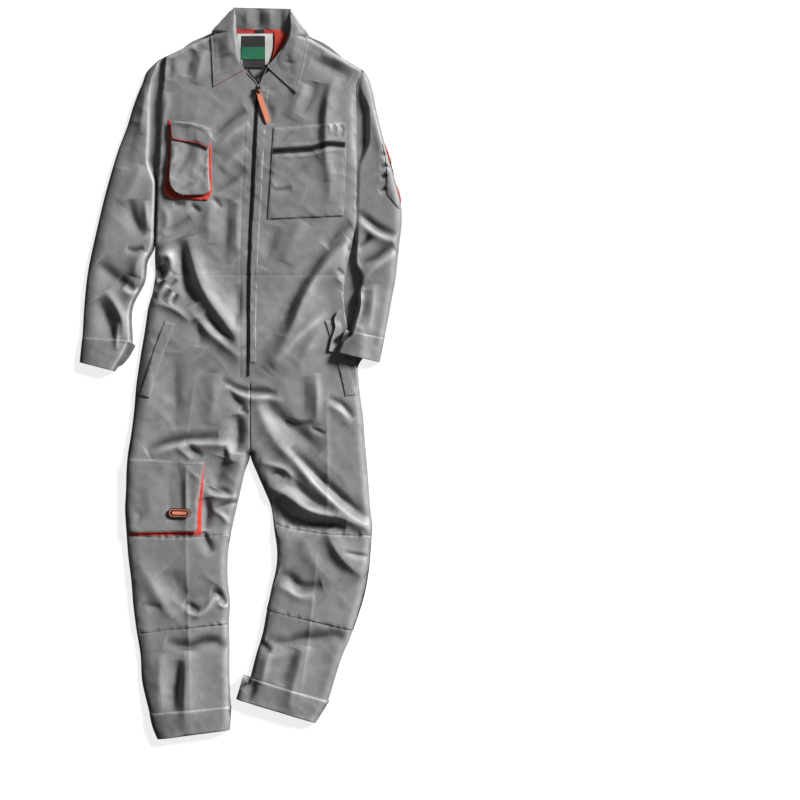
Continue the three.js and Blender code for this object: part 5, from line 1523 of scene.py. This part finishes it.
V_RIGHT = [(13, 666), (22, 654), (33, 642), (40, 628)]
V_LEFT = [(58, 671), (53, 659), (47, 646), (42, 628)]
flat_piece("v_tape_right", beside(smooth_line(V_RIGHT, 3), (0.6, 0.2), (7.5, 2.5)), v_top, black_tape, [])
flat_piece("v_tape_left", beside(smooth_line(V_LEFT, 3), (-7.5, -2.5), (-0.6, -0.2)), v_top, black_tape, [])
edge_cord("v_piping_right", V_RIGHT, body_top, -0.8, 0.8, grey_twill)
edge_cord("v_piping_left", V_LEFT, body_top, -0.8, 0.8, grey_twill)

# The badge on the thigh pocket: plain moulded rubber, dark with a light ring and bar
BADGE_MIDDLE = (-133, -306)
BADGE_LAYERS = [
    ("badge_rim", 25.2, 10.4, 1.5, "black_tape"),
    ("badge_ring", 22.6, 8.0, 2.0, "orange_rubber"),
    ("badge_field", 21.0, 6.5, 2.2, "black_tape"),
    ("badge_bar", 16.0, 3.4, 2.9, "orange_rubber"),
]


def badge_rows(half_length, half_width):
    """Rows of a plate with round ends, tilted a little like the pocket it sits on."""
    rows = []
    for turn in np.linspace(math.pi / 2 - 0.12, -math.pi / 2 + 0.12, 9):
        reach = half_length - half_width + half_width * math.cos(turn)
        level = BADGE_MIDDLE[1] + half_width * math.sin(turn)
        rows.append(((BADGE_MIDDLE[0] - reach, level + 0.4), (BADGE_MIDDLE[0] + reach, level - 0.4)))
    return rows


spots = np.array([(dx, dy) for dx in (-24, -12, 0, 12, 24) for dy in (-9, 0, 9)], float) + BADGE_MIDDLE
badge_height = thigh_pocket_top(spots[:, 0], spots[:, 1]).max()


def badge_base(x, y):
    return 0.3 * thigh_pocket_top(x, y) + 0.7 * badge_height


badge_black = hard("badge_black", (0.014, 0.014, 0.015), 0.42, 0.0, 0.1)
for name, half_length, half_width, height, slot in BADGE_LAYERS:
    x, y = plan(rows_of(badge_rows(half_length, half_width)), 1.2)
    z = badge_base(x, y) + height
    material = orange_rubber if slot == "orange_rubber" else badge_black
    replaced = ["thigh_badge"] if name == "badge_rim" else []
    cloth(name, x, y, z, material, replaced, thickness=min(1.5, height))


# Topstitching
# All the rows noted above and the seams of the panels, made as one piece a group.
def seam_rows(group, path, top, offsets):
    line = smooth_line(path, 3)
    for offset in offsets:
        stitch(group, inset(line, offset, 2), top)


closing_row = np.array([(15, 562), (11, 470), (7, 382), (5, 272), (3, 162), (3, -6)], float)
stitch("stitches_bodice", smooth_line(closing_row, 4), body_top)
stitch("stitches_bodice", smooth_line([(21, 217), (131, 217), (226, 217)], 4), raised(body_top, 0.0))
stitch("stitches_bodice", smooth_line([(-184, 217), (-89, 217), (-1, 217)], 4), body_top)
seam_rows("stitches_bodice", [(21, -36), (21, -102), (21, -173)], body_top, (-2.2, 2.2))
seam_rows("stitches_legs", [(-151, 102), (-170, 52), (-189, -3), (-204, -50)], body_top, (8, 13))
for row, height in enumerate((376.6, 378.2, 379.8, 381.4)):
    bar = [((243.4 - 240.5) * 2.2, (373.5 - height) * 2.2), ((254.8 - 240.5) * 2.2, (373.5 - height) * 2.2)]
    stitch("stitches_bodice", smooth_line(bar, 4), body_top, 0.5)


def stitch_group(name, rows):
    centres, runs, rises = [], [], []
    for line, top, raised_by in rows:
        place = np.concatenate([[0], np.cumsum(np.hypot(*np.diff(line, axis=0).T))])
        at = np.arange(STITCH_PITCH / 2, place[-1], STITCH_PITCH)
        centre = np.stack([np.interp(at, place, line[:, i]) for i in (0, 1)], -1)
        ahead = np.stack([np.interp(at + 0.5, place, line[:, i]) for i in (0, 1)], -1)
        behind = np.stack([np.interp(at - 0.5, place, line[:, i]) for i in (0, 1)], -1)
        run = ahead - behind
        length = np.maximum(np.hypot(*run.T), 1e-6)[:, None]
        slope = (top(ahead[:, 0], ahead[:, 1]) - top(behind[:, 0], behind[:, 1])) / length[:, 0]
        centres.append(np.column_stack([centre, top(centre[:, 0], centre[:, 1]) + raised_by]))
        runs.append(run / length)
        rises.append(slope)
    centre, run, slope = np.vstack(centres), np.vstack(runs), np.concatenate(rises)
    long, wide, high = STITCH_SIZE
    ahead = np.column_stack([run, slope]) * long
    aside = np.column_stack([-run[:, 1], run[:, 0], 0 * slope]) * wide
    above = np.array([0, 0, high])
    points = np.stack([centre + ahead, centre + aside, centre - ahead, centre - aside, centre + above, centre - above], 1)
    form = np.array([(0, 1, 4), (1, 2, 4), (2, 3, 4), (3, 0, 4), (1, 0, 5), (2, 1, 5), (3, 2, 5), (0, 3, 5)])
    faces = (np.arange(len(centre))[:, None, None] * 6 + form).reshape(-1, 3)
    return new_piece(name, points.reshape(-1, 3), faces, thread, [], sharp=30)


thread = hard("thread", (0.2, 0.2, 0.205), 0.7)
for name, rows in stitch_lines.items():
    stitch_group(name, rows)
